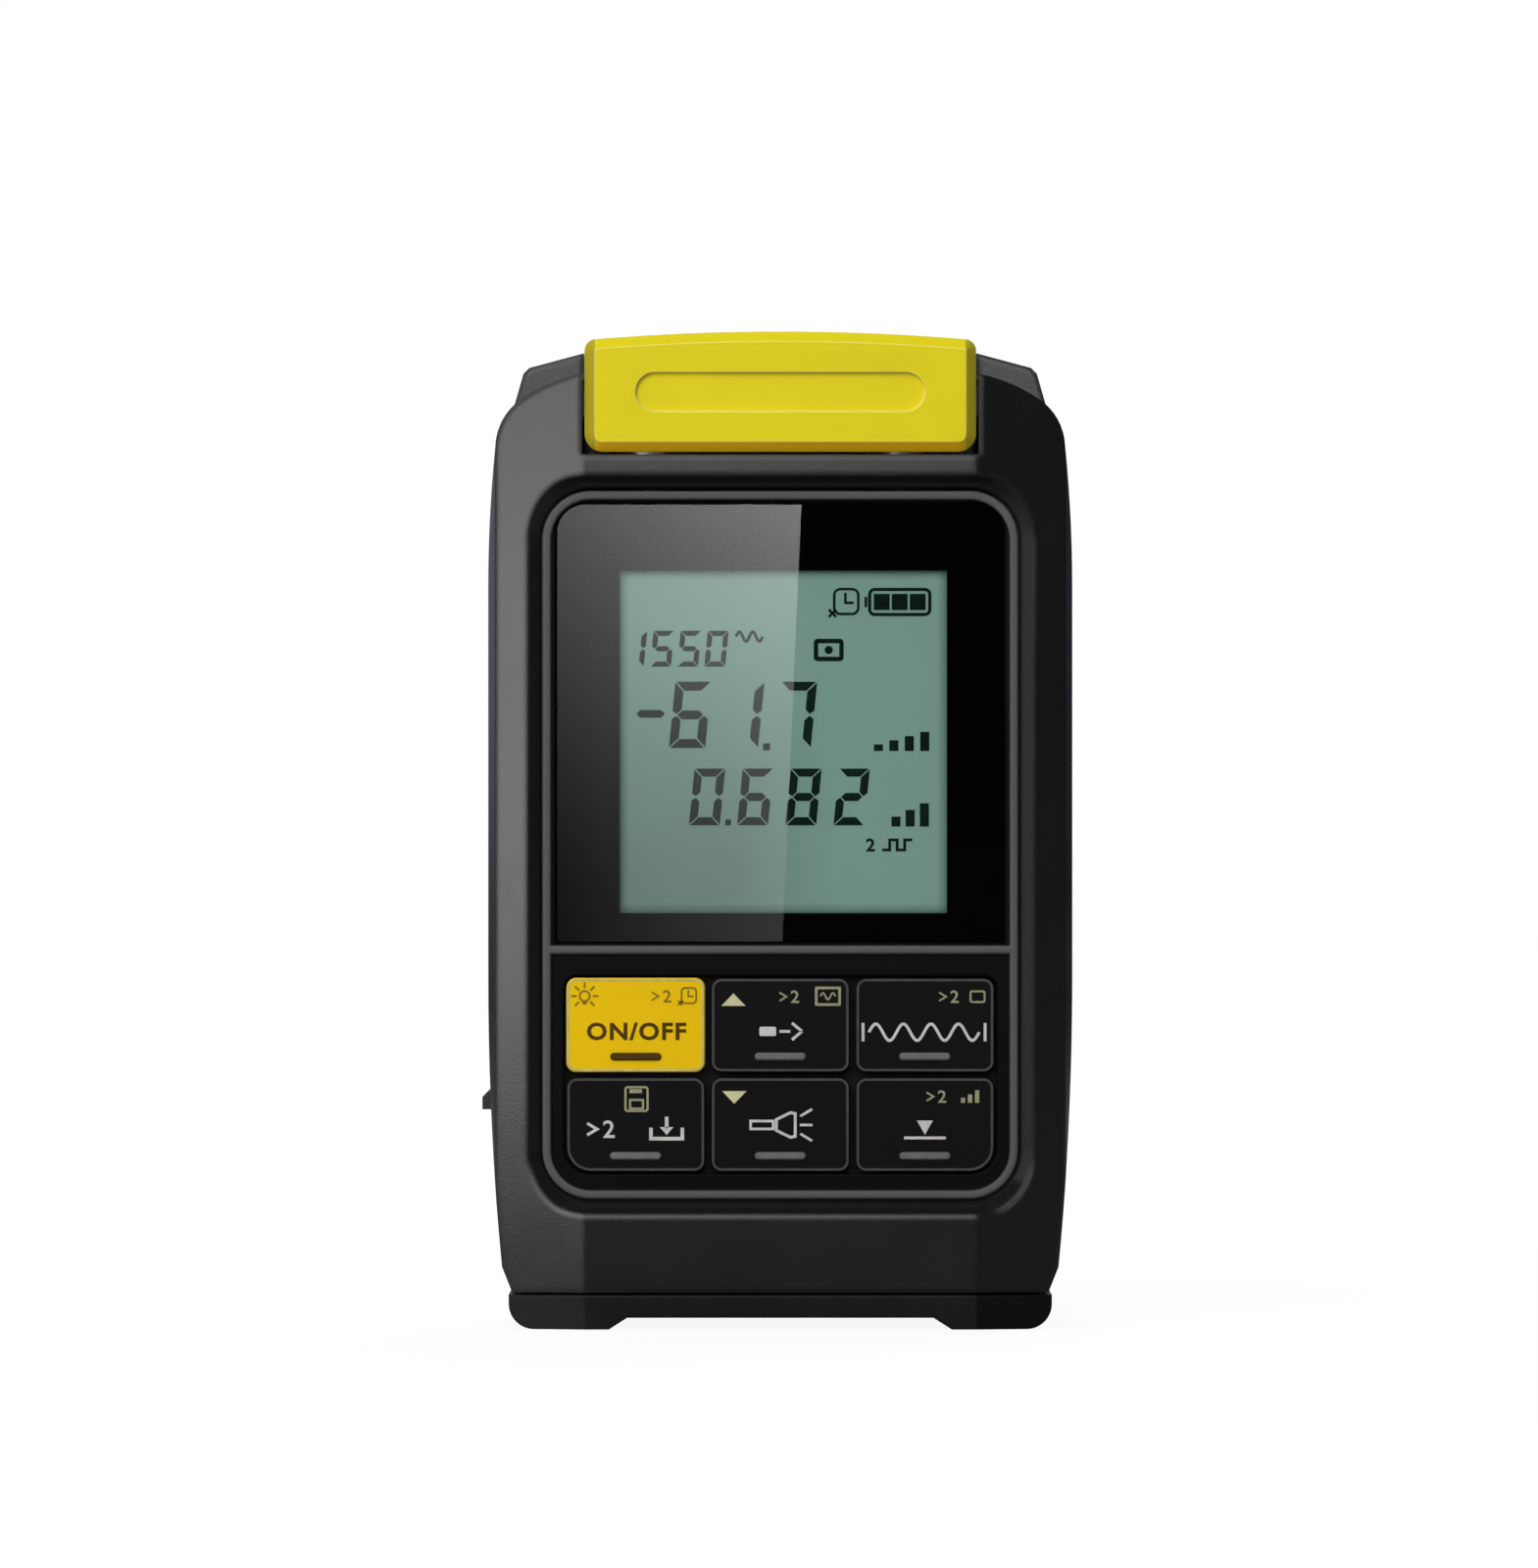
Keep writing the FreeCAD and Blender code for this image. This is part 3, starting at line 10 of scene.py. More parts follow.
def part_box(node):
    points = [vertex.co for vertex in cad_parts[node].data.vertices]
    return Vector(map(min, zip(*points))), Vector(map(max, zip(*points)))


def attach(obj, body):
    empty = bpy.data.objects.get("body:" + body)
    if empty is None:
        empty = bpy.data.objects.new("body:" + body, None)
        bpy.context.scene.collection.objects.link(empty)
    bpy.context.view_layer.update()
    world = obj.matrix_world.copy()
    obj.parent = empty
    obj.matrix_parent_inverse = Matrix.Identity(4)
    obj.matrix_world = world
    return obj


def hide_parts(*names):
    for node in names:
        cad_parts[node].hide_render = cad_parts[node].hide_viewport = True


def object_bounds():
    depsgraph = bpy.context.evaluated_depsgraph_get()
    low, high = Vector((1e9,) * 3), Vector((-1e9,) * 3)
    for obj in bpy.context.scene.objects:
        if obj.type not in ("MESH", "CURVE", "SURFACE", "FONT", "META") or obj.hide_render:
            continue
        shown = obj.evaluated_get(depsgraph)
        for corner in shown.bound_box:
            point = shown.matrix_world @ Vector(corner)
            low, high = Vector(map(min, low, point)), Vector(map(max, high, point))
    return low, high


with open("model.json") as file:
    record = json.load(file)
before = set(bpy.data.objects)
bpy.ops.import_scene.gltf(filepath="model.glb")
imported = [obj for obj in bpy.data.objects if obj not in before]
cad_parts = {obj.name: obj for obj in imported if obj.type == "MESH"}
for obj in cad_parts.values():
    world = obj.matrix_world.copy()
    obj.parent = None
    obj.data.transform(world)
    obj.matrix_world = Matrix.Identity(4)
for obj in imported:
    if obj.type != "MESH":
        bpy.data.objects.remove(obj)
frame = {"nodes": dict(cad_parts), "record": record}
cadLow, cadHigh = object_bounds()
mm = 0.001
meterBody = "meter_body"
print("frame loaded:", len(frame["nodes"]), "nodes")


def span(node):
    # lowest and highest corner, in millimetres
    low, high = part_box(node)
    return [value / mm for value in low], [value / mm for value in high]


def middle(node):
    return [(low + high) / 2 for low, high in zip(*span(node))]


# node helpers

def addNode(tree, kind, inputs=None, **settings):
    node = tree.nodes.new("ShaderNode" + kind)
    for key, setting in settings.items():
        setattr(node, key, setting)
    for socket, source in (inputs or {}).items():
        if isinstance(source, bpy.types.NodeSocket):
            tree.links.new(source, node.inputs[socket])
        else:
            node.inputs[socket].default_value = source
    return node


def calculate(tree, operation, first, second=0.0, clamp=False):
    inputs = {0: first, 1: second}
    return addNode(tree, "Math", inputs, operation=operation, use_clamp=clamp).outputs[0]


def times(tree, first, second):
    return calculate(tree, "MULTIPLY", first, second)


def plus(tree, first, second):
    return calculate(tree, "ADD", first, second)


def ramp(tree, source, low, high, newLow=0.0, newHigh=1.0):
    inputs = {"Value": source, "From Min": low, "From Max": high, "To Min": newLow,
              "To Max": newHigh}
    return addNode(tree, "MapRange", inputs).outputs["Result"]


def between(tree, source, low, high):
    # 0 at low and 1 at high, both in millimetres
    return ramp(tree, source, low * mm, high * mm)


def opaque(colour):
    return (*colour, 1.0)


def blend(tree, factor, first, second, kind="MIX"):
    first, second = (opaque(end) if isinstance(end, tuple) else end for end in (first, second))
    inputs = {0: factor, 6: first, 7: second}
    return addNode(tree, "Mix", inputs, data_type="RGBA", blend_type=kind).outputs[2]


def place(tree):
    # coordinates that stay with the piece, in metres
    return addNode(tree, "TexCoord").outputs["Object"]


def axes(tree, vector):
    return addNode(tree, "SeparateXYZ", {0: vector}).outputs


def scaleFor(tree, size, share=1.0):
    # texture scale for a feature of this many millimetres
    return calculate(tree, "DIVIDE", share / mm, size)


def newGroup(name, numbers, build):
    # build takes the tree and the group's inputs, and gives its outputs by name
    tree = bpy.data.node_groups.new(name, "ShaderNodeTree")
    for label, number in numbers.items():
        socket = tree.interface.new_socket(name=label, in_out="INPUT",
                                           socket_type="NodeSocketFloat")
        socket.default_value = number
    results = build(tree, tree.nodes.new("NodeGroupInput").outputs)
    for label in results:
        kind = "NodeSocketVector" if label == "Normal" else "NodeSocketFloat"
        tree.interface.new_socket(name=label, in_out="OUTPUT", socket_type=kind)
    given = tree.nodes.new("NodeGroupOutput").inputs
    for label, source in results.items():
        tree.links.new(source, given[label])
    return tree


def grainNodes(tree, taken):
    # fine texture of a moulded or painted face, and a cloudy mask
    where = place(tree)
    fine = addNode(tree, "TexNoise", {"Vector": where, "Detail": 3.0, "Roughness": 0.6,
                                      "Scale": scaleFor(tree, taken["Grain Size"])})
    pits = addNode(tree, "TexVoronoi", {
        "Vector": where, "Scale": scaleFor(tree, taken["Grain Size"], 0.6)}, feature="SMOOTH_F1")
    cloud = addNode(tree, "TexNoise", {"Vector": where, "Detail": 2.0,
                                       "Scale": scaleFor(tree, taken["Cloud Size"])})
    height = plus(tree, fine.outputs["Fac"], times(tree, pits.outputs["Distance"], 0.5))
    return {"Height": height, "Cloud": ramp(tree, cloud.outputs["Fac"], 0.3, 0.7)}


def edgeNodes(tree, taken):
    # the normal of a small radius on every edge, and where those edges are
    bevel = addNode(tree, "Bevel", {"Radius": times(tree, taken["Radius"], mm)}, samples=4)
    plain = addNode(tree, "NewGeometry").outputs["Normal"]
    facing = addNode(tree, "VectorMath", {0: bevel.outputs[0], 1: plain},
                     operation="DOT_PRODUCT")
    return {"Normal": bevel.outputs[0], "Edge": ramp(tree, facing.outputs["Value"], 0.999, 0.9)}


def marksNodes(tree, taken):
    # faint smears and dust, as masks
    where = place(tree)
    smear = addNode(tree, "TexNoise", {
        "Vector": where, "Detail": 5.0, "Roughness": 0.62, "Distortion": 1.4,
        "Scale": scaleFor(tree, taken["Smear Size"])})
    specks = addNode(tree, "TexVoronoi", {"Vector": where, "Randomness": 1.0,
                                          "Scale": scaleFor(tree, taken["Speck Size"])})
    return {"Smear": ramp(tree, smear.outputs["Fac"], 0.5, 0.72),
            "Dust": ramp(tree, specks.outputs["Distance"], 0.14, 0.04)}


def turnedNodes(tree, taken):
    # fine rings round an upright axis
    stretched = addNode(tree, "Mapping", {"Vector": place(tree), "Scale": (0.01, 0.01, 1.0)})
    lines = addNode(tree, "TexNoise", {"Vector": stretched.outputs[0], "Detail": 2.0,
                                       "Scale": scaleFor(tree, taken["Line Size"])})
    rise = lines.outputs["Fac"]
    return {"Height": rise, "Streak": ramp(tree, rise, 0.35, 0.65)}


# sizes in millimetres
grainGroup = newGroup("mouldedGrain", {"Grain Size": 0.3, "Cloud Size": 14.0}, grainNodes)
edgeGroup = newGroup("roundedEdges", {"Radius": 0.3}, edgeNodes)
marksGroup = newGroup("handlingMarks", {"Smear Size": 9.0, "Speck Size": 0.8}, marksNodes)
turnedGroup = newGroup("turnedLines", {"Line Size": 0.05}, turnedNodes)
print("shader groups made")


# materials

def newMaterial(name, sockets):
    material = bpy.data.materials.new(name)
    material.use_nodes = True
    shader = material.node_tree.nodes["Principled BSDF"]
    for socket, number in sockets.items():
        shader.inputs[socket].default_value = number
    return material, material.node_tree


def useGroup(tree, group, **numbers):
    node = tree.nodes.new("ShaderNodeGroup")
    node.node_tree = group
    for label, number in numbers.items():
        node.inputs[label.replace("_", " ")].default_value = number
    return node.outputs


def bumpNormal(tree, height, depth, strength=1.0, **normal):
    inputs = {"Height": height, "Distance": depth * mm, "Strength": strength, **normal}
    return addNode(tree, "Bump", inputs).outputs[0]


def finished(material, tone, **sources):
    # joins the nodes' results to the shader
    tree = material.node_tree
    shader = tree.nodes["Principled BSDF"]
    for label, source in {"Base Color": tone, **sources}.items():
        tree.links.new(source, shader.inputs[label])
    return material


def shaded(colour, share):
    return tuple(channel * share for channel in colour)


def paintedBevelShade(tree, tone, bevel):
    # painted shade: darker and more orange tones for the bevels at the lower edge and the sides of
    # a node's front
    low, high = span(bevel["node"])
    x, y, z = axes(tree, place(tree))
    front, lower, side = (low[1] + bevel["wide"], low[2] + bevel["wide"], high[0] - bevel["wide"])
    ahead = between(tree, y, front + 2 * bevel["soft"], front)
    below = between(tree, z, lower + bevel["soft"], lower)
    beside = between(tree, calculate(tree, "ABSOLUTE", x), side - bevel["soft"], side)
    for mask, colour in ((below, bevel["lowShadeTone"]), (beside, bevel["sideShadeTone"])):
        tone = blend(tree, times(tree, mask, ahead), tone, colour)
    return tone


def mouldedMaterial(name, colour, wearAndSheen, roughness, grainSize=0.3, grainDepth=0.006, spread=0.06,
                    edgeRadius=0.25, edgeWearAndSheen=0.25, smear=0.04, dust=0.0, specular=0.5,
                    coat=0.0, coatRoughness=0.03, bevel=None, cloudShade=0.93,
                    dustTone=(0.35, 0.34, 0.32)):
    # plastic or rubber: grain, cloudy gloss, softened edges in a paler tone that is partly wear and
    # partly painted highlight, faint marks
    material, tree = newMaterial(name, {"Specular IOR Level": specular, "Coat Weight": coat,
                                        "Coat Roughness": coatRoughness})
    grain = useGroup(tree, grainGroup, Grain_Size=grainSize)
    edges = useGroup(tree, edgeGroup, Radius=edgeRadius)
    marks = useGroup(tree, marksGroup)
    tone = blend(tree, grain["Cloud"], shaded(colour, cloudShade), colour)
    # painted shade on the bevels, where the finish asks for it
    if bevel:
        tone = paintedBevelShade(tree, tone, bevel)
    # paler edges: partly wear, partly painted highlight
    tone = blend(tree, times(tree, edges["Edge"], edgeWearAndSheen), tone, wearAndSheen)
    tone = blend(tree, times(tree, marks["Dust"], dust), tone, dustTone)
    gloss = plus(tree, times(tree, grain["Cloud"], spread), roughness)
    gloss = calculate(tree, "ADD", gloss, times(tree, marks["Smear"], smear), clamp=True)
    normal = bumpNormal(tree, grain["Height"], grainDepth, Normal=edges["Normal"])
    return finished(material, tone, Roughness=gloss, Normal=normal)


def metalMaterial(name, colour, dull, roughness, lineDepth=0.0012, edgeRadius=0.1,
                  smearSize=4.0, tarnish=0.6, streak=0.12):
    # machined or plated metal with turning lines and slight tarnish
    material, tree = newMaterial(name, {"Metallic": 1.0})
    lines = useGroup(tree, turnedGroup)
    marks = useGroup(tree, marksGroup, Smear_Size=smearSize)
    edges = useGroup(tree, edgeGroup, Radius=edgeRadius)
    tone = blend(tree, times(tree, marks["Smear"], tarnish), colour, dull)
    gloss = plus(tree, times(tree, lines["Streak"], streak), roughness)
    normal = bumpNormal(tree, lines["Height"], lineDepth, 0.5, Normal=edges["Normal"])
    return finished(material, tone, Roughness=gloss, Normal=normal)


bezel = {"rim": (0.100, 0.099, 0.101), "rimSheen": (0.19, 0.19, 0.195), "edgeWearAndSheen": 0.4,
         "field": (0.0024, 0.0024, 0.0027), "fieldDepth": 0.15, "roughness": 0.33,
         "spread": 0.05, "specular": 0.06, "grainSize": 0.2, "grainDepth": 0.004,
         "edgeRadius": 0.3}


def bezelMaterial():
    # grey on the raised rim with a painted highlight along its edges, black on the field that lies
    # lower
    material, tree = newMaterial("bezelTwoTone", {"Specular IOR Level": bezel["specular"]})
    level = span("panel_bezel")[0][1] + bezel["fieldDepth"]
    raised = between(tree, axes(tree, place(tree))["Y"], level + bezel["fieldDepth"], level)
    grain = useGroup(tree, grainGroup, Grain_Size=bezel["grainSize"])
    edges = useGroup(tree, edgeGroup, Radius=bezel["edgeRadius"])
    # painted highlight along the rim's edges
    wearAndSheen = times(tree, edges["Edge"], bezel["edgeWearAndSheen"])
    rim = blend(tree, wearAndSheen, bezel["rim"], bezel["rimSheen"])
    tone = blend(tree, raised, bezel["field"], rim)
    gloss = plus(tree, times(tree, grain["Cloud"], bezel["spread"]), bezel["roughness"])
    normal = bumpNormal(tree, grain["Height"], bezel["grainDepth"], Normal=edges["Normal"])
    return finished(material, tone, Roughness=gloss, Normal=normal)


def inkMaterial(name, colour, roughness=0.5, specular=0.12, cloudShade=0.8, spread=0.08,
                grainDepth=0.004):
    # printed ink: thin, slightly uneven
    material, tree = newMaterial(name, {"Specular IOR Level": specular})
    grain = useGroup(tree, grainGroup, Grain_Size=0.12, Cloud_Size=1.2)
    tone = blend(tree, grain["Cloud"], shaded(colour, cloudShade), colour)
    gloss = plus(tree, times(tree, grain["Cloud"], spread), roughness)
    normal = bumpNormal(tree, grain["Height"], grainDepth, 0.5)
    return finished(material, tone, Roughness=gloss, Normal=normal)


# middle of the display panel, and what of it can be seen, in millimetres from there
displayX, _, displayZ = middle("lcd_panel")
display = {"left": -19.25, "right": 19.95, "low": -20.75, "high": 20.25,
           # the low tone is painted shade towards the lower left; the dark edge tone is a painted
           # shadow of the border
           "tone": (0.188, 0.315, 0.270), "lowShadeTone": (0.146, 0.226, 0.198),
           "margin": (0.030, 0.052, 0.045), "marginStart": -0.1, "marginSoft": 1.3,
           "marginPower": 0.6, "shadeRight": 7.0, "shadeLeft": -6.0, "shadeTop": 13.5,
           "shadeLow": -14.5, "glow": 0.12, "roughness": 0.5, "spread": 0.08,
           "specksAcross": 10000 / 3, "speckShade": 0.965,
           "segmentTone": (0.004, 0.011, 0.008), "segmentPale": (0.008, 0.018, 0.014)}
viewLeft, viewRight = displayX + display["left"], displayX + display["right"]
viewLow, viewHigh = displayZ + display["low"], displayZ + display["high"]


def displayMaterial():
    # grey-green: a painted shadow of the border round its edge, painted shade towards the lower
    # left and very fine speckles
    material, tree = newMaterial("displayGreen", {"Emission Strength": display["glow"],
                                                  "Specular IOR Level": 0.0})
    x, _, z = axes(tree, place(tree))
    # painted shadow of the border, soft and dark round the display's edge
    inside = 1.0
    for axis, edge, way in ((x, viewLeft, 1), (x, viewRight, -1), (z, viewLow, 1),
                            (z, viewHigh, -1)):
        start = edge + way * display["marginStart"]
        inside = times(tree, inside, between(tree, axis, start,
                                             start + way * display["marginSoft"]))
    inside = calculate(tree, "POWER", inside, display["marginPower"])
    # painted shade: darker towards the lower left
    shade = times(tree, between(tree, x, displayX + display["shadeRight"],
                                displayX + display["shadeLeft"]),
                  between(tree, z, displayZ + display["shadeTop"],
                          displayZ + display["shadeLow"]))
    tone = blend(tree, shade, display["tone"], display["lowShadeTone"])
    tone = blend(tree, inside, display["margin"], tone)
    specks = addNode(tree, "TexChecker", {"Scale": display["specksAcross"],
                                          "Color1": opaque((1, 1, 1)),
                                          "Color2": opaque((display["speckShade"],) * 3)})
    tone = blend(tree, 1.0, tone, specks.outputs["Color"], kind="MULTIPLY")
    grain = useGroup(tree, grainGroup, Grain_Size=0.2, Cloud_Size=8.0)
    gloss = plus(tree, times(tree, grain["Cloud"], display["spread"]), display["roughness"])
    return finished(material, tone, **{"Emission Color": tone, "Roughness": gloss})


def segmentMaterial():
    # darkened liquid crystal
    material, tree = newMaterial("displaySegments", {"Roughness": 0.6,
                                                     "Specular IOR Level": 0.0})
    grain = useGroup(tree, grainGroup, Grain_Size=0.2, Cloud_Size=5.0)
    tone = blend(tree, grain["Cloud"], display["segmentTone"], display["segmentPale"])
    return finished(material, tone)


def glassMaterial(name, tint, roughness, smearSize=18.0, smearShade=0.985, smearGloss=0.012):
    material, tree = newMaterial(name, {"Transmission Weight": 1.0, "IOR": 1.5})
    marks = useGroup(tree, marksGroup, Smear_Size=smearSize)
    tone = blend(tree, marks["Smear"], tint, shaded(tint, smearShade))
    gloss = plus(tree, times(tree, marks["Smear"], smearGloss), roughness)
    return finished(material, tone, Roughness=gloss)


finishes = {
    "shell": mouldedMaterial(
        "shellPlastic", (0.0104, 0.0105, 0.0118), (0.020, 0.021, 0.023), 0.13, grainSize=0.22,
        grainDepth=0.003, spread=0.03, edgeRadius=1.0, edgeWearAndSheen=0.3, smear=0.03, dust=0.015),
    # the cover's pale edge tone is a painted highlight along its edges
    "cover": mouldedMaterial(
        "coverYellow", (0.80, 0.68, 0.006), (0.98, 0.93, 0.34), 0.34, grainSize=0.35,
        grainDepth=0.004, edgeWearAndSheen=0.7, specular=0.12,
        # painted shade: darker, more orange tones on the cover's lower and side bevels
        bevel={"node": "port_cover", "wide": 1.2, "soft": 0.1, "lowShadeTone": (0.88, 0.51, 0.012),
               "sideShadeTone": (0.47, 0.385, 0.02)}),
    "base": mouldedMaterial(
        "baseRubber", (0.0048, 0.0048, 0.0056), (0.012, 0.012, 0.013), 0.30, grainSize=0.2,
        grainDepth=0.004, edgeRadius=0.4, edgeWearAndSheen=0.4, specular=0.16),
    "deck": mouldedMaterial("deckBlack", (0.014, 0.014, 0.015), (0.03, 0.03, 0.03), 0.42),
    "key": mouldedMaterial(
        "keyBlack", (0.0030, 0.0030, 0.0033), (0.012, 0.012, 0.0125), 0.45, grainSize=0.25,
        edgeRadius=0.12, edgeWearAndSheen=0.2, specular=0.08),
    "yellow_key": mouldedMaterial(
        "keyYellow", (0.90, 0.575, 0.003), (0.85, 0.66, 0.12), 0.42, grainSize=0.25,
        edgeRadius=0.15, edgeWearAndSheen=0.4, specular=0.06),
    "mat": mouldedMaterial("matRubber", (0.003, 0.003, 0.0033), (0.008, 0.008, 0.008), 0.6,
                           edgeRadius=0.1, specular=0.2),
    "circuit_board": mouldedMaterial("boardGreen", (0.012, 0.10, 0.035), (0.05, 0.2, 0.08),
                                     0.3, grainSize=0.9, edgeRadius=0.1),
    "chip": mouldedMaterial("chipBlack", (0.015, 0.015, 0.016), (0.04, 0.04, 0.04), 0.45,
                            edgeRadius=0.1),
    "flap_rubber": mouldedMaterial("flapRubber", (0.013, 0.0135, 0.015), (0.03, 0.03, 0.032),
                                   0.55, grainSize=0.18, edgeRadius=0.3, edgeWearAndSheen=0.3),
    "battery_wrap": mouldedMaterial("batteryWrap", (0.03, 0.055, 0.12), (0.1, 0.14, 0.2), 0.25,
                                    grainSize=2.5, edgeRadius=0.4, coat=0.4, coatRoughness=0.1),
    "light_source": mouldedMaterial("ledPhosphor", (0.85, 0.78, 0.30), (0.9, 0.88, 0.6), 0.5,
                                    edgeRadius=0.1),
    "backlight": mouldedMaterial("diffuserWhite", (0.70, 0.74, 0.72), (0.8, 0.82, 0.8), 0.4,
                                 edgeRadius=0.1),
    "steel": metalMaterial("screwSteel", (0.42, 0.42, 0.43), (0.28, 0.27, 0.26), 0.28),
    "nickel": metalMaterial("portNickel", (0.66, 0.64, 0.59), (0.42, 0.40, 0.36), 0.20),
    "brass": metalMaterial("moduleBrass", (0.72, 0.52, 0.22), (0.45, 0.32, 0.13), 0.25),
    "gold": metalMaterial("contactGold", (0.86, 0.64, 0.24), (0.6, 0.43, 0.16), 0.2),
    "bezel": bezelMaterial(),
    "display": displayMaterial(),
    "window": glassMaterial("windowGlass", (0.97, 0.98, 0.975), 0.0),
    "clear_lens": glassMaterial("lensClear", (0.95, 0.96, 0.97), 0.02),
}
legendWhite = inkMaterial("legendWhite", (0.66, 0.64, 0.63))
legendPale = inkMaterial("legendPale", (0.36, 0.35, 0.22))
legendArrow = inkMaterial("legendArrow", (0.68, 0.66, 0.40))
legendBrown = inkMaterial("legendBrown", (0.085, 0.040, 0.001))
legendOlive = inkMaterial("legendOlive", (0.28, 0.18, 0.008))
# painted highlights along the keys' edges, grey on the black keys and gold on the yellow one
keyEdgeHighlightGrey = inkMaterial("keyEdgeHighlightGrey", (0.065, 0.065, 0.067), 0.4)
keyEdgeHighlightGold = inkMaterial("keyEdgeHighlightGold", (0.66, 0.56, 0.16), 0.4)
dashGrey = inkMaterial("dashGrey", (0.17, 0.17, 0.17), 0.4)
tapeAmber = inkMaterial("tapeAmber", (0.50, 0.24, 0.015), 0.3, 0.5)
labelGrey = inkMaterial("labelGrey", (0.52, 0.53, 0.53), 0.45, 0.3)
labelInk = inkMaterial("labelInk", (0.020, 0.024, 0.035))
windowBlack = inkMaterial("windowBlack", (0.0006, 0.0006, 0.0007), 0.5, 0.0)
displaySegments = segmentMaterial()

finishOfNode = {part["node"]: part["material_slot"] for part in frame["record"]["subparts"]}
finishOfNode["base_cap"] = "base"
for label, node in frame["nodes"].items():
    node.data.materials.clear()
    node.data.materials.append(finishes[finishOfNode[label]])
print("finishes set:", len(finishes))


# flat shapes, in millimetres on the XZ plane: each is a list of loops, the outline first

def block(x, z, width, height, lean=0.0):
    # centred on x, z; lean moves the top to the right
    w, h, shift = width / 2, height / 2, lean / 2
    return [[(x - w - shift, z - h), (x + w - shift, z - h), (x + w + shift, z + h),
             (x - w + shift, z + h)]]


def arc(x, z, radius, start, steps, turn=90):
    angles = [math.radians(start + turn * step / steps) for step in range(steps + 1)]
    return [(x + radius * math.cos(angle), z + radius * math.sin(angle)) for angle in angles]


def roundedLoop(x, z, width, height, bend, steps=6):
    w, h = width / 2 - bend, height / 2 - bend
    loop = []
    for corner, (cx, cz) in enumerate(((w, -h), (w, h), (-w, h), (-w, -h))):
        loop += arc(x + cx, z + cz, bend, 90 * corner - 90, steps)
    return loop


def roundedBlock(x, z, width, height, bend):
    return [roundedLoop(x, z, width, height, bend)]


def roundedFrame(x, z, width, height, bend, line):
    inner = roundedLoop(x, z, width - 2 * line, height - 2 * line, max(bend - line, 0.02))
    return [roundedLoop(x, z, width, height, bend), inner]


def disc(x, z, radius, steps=24):
    return [arc(x, z, radius, 0, steps, 360)[:-1]]


def circleLine(x, z, radius, line):
    return disc(x, z, radius + line / 2) + disc(x, z, radius - line / 2)


def triangle(x, z, width, height):
    # points up, or down where the height is negative
    w, h = math.copysign(width / 2, height), height / 2
    return [[(x - w, z - h), (x + w, z - h), (x, z + h)]]


def stroke(points, line):
    # a line of even width with mitred corners
    left, right = [], []
    for index, point in enumerate(points):
        before = points[max(index - 1, 0)]
        after = points[min(index + 1, len(points) - 1)]
        ways = [Vector(point) - Vector(before), Vector(after) - Vector(point)]
        ways = [way.normalized() for way in ways if way.length > 0]
        along = sum(ways, Vector((0, 0))).normalized()
        normal = Vector((-along.y, along.x))
        reach = line / 2 / max(along.dot(ways[0]), 0.4)
        left.append(tuple(Vector(point) + normal * reach))
        right.append(tuple(Vector(point) - normal * reach))
    return [right + left[::-1]]


def moved(shapes, x, z, scale=1.0):
    return [[[(px * scale + x, pz * scale + z) for px, pz in loop] for loop in shape]
            for shape in shapes]


# meshes

def newObject(name, data):
    piece = bpy.data.objects.new(name, data)
    bpy.context.scene.collection.objects.link(piece)
    return piece


def addPiece(name, mesh, material, body, smooth=None):
    bmesh.ops.recalc_face_normals(mesh, faces=mesh.faces)
    data = bpy.data.meshes.new(name)
    mesh.to_mesh(data)
    mesh.free()
    piece = newObject(name, data)
    piece.data.materials.append(material)
    if smooth is not None:
        for face in data.polygons:
            face.use_smooth = True
        data.set_sharp_from_angle(angle=math.radians(smooth))
    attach(piece, body)
    return piece


def ringAt(mesh, loop, y):
    return [mesh.verts.new((x * mm, y * mm, z * mm)) for x, z in loop]


def bridge(mesh, first, second):
    # a strip of faces between two rings
    for step in range(len(first)):
        after = (step + 1) % len(first)
        mesh.faces.new((first[step], first[after], second[after], second[step]))


def flatMesh(name, shapes, face, thickness, material, body):
    # raises the shapes from the face towards the front, or to the back where it is negative
    mesh = bmesh.new()
    for shape in shapes:
        flat = [corner for loop in shape for corner in loop]
        front, back = ringAt(mesh, flat, face - thickness), ringAt(mesh, flat, face)
        flatLoops = [[Vector((x * mm, z * mm, 0)) for x, z in loop] for loop in shape]
        for a, b, c in tessellate_polygon(flatLoops):
            mesh.faces.new((front[a], front[b], front[c]))
            mesh.faces.new((back[c], back[b], back[a]))
        first = 0
        for loop in shape:
            last = first + len(loop)
            bridge(mesh, front[first:last], back[first:last])
            first = last
    return addPiece(name, mesh, material, body)


def lettering(text, x, z, width, height, bold=0.012, spread=1.0, steps=3):
    # plain built-in letters as flat shapes, fitted into a box centred on x, z
    curve = bpy.data.curves.new("lettering", "FONT")
    curve.body = text
    curve.resolution_u = steps
    curve.offset = bold
    curve.space_character = spread
    holder = newObject("lettering", curve)
    bpy.context.view_layer.update()
    mesh = bpy.data.meshes.new_from_object(holder)
    bpy.data.objects.remove(holder)
    bpy.data.curves.remove(curve)
    xs = [vertex.co.x for vertex in mesh.vertices]
    zs = [vertex.co.y for vertex in mesh.vertices]
    wide, tall = width / (max(xs) - min(xs)), height / (max(zs) - min(zs))
    corners = [((px - min(xs)) * wide + x - width / 2, (pz - min(zs)) * tall + z - height / 2)
               for px, pz in zip(xs, zs)]
    shapes = boundaryLoops(mesh, corners)
    bpy.data.meshes.remove(mesh)
    return shapes


def sides(ring):
    return zip(ring, ring[1:] + ring[:1])


def loopArea(loop):
    return sum(a[0] * b[1] - b[0] * a[1] for a, b in sides(loop)) / 2


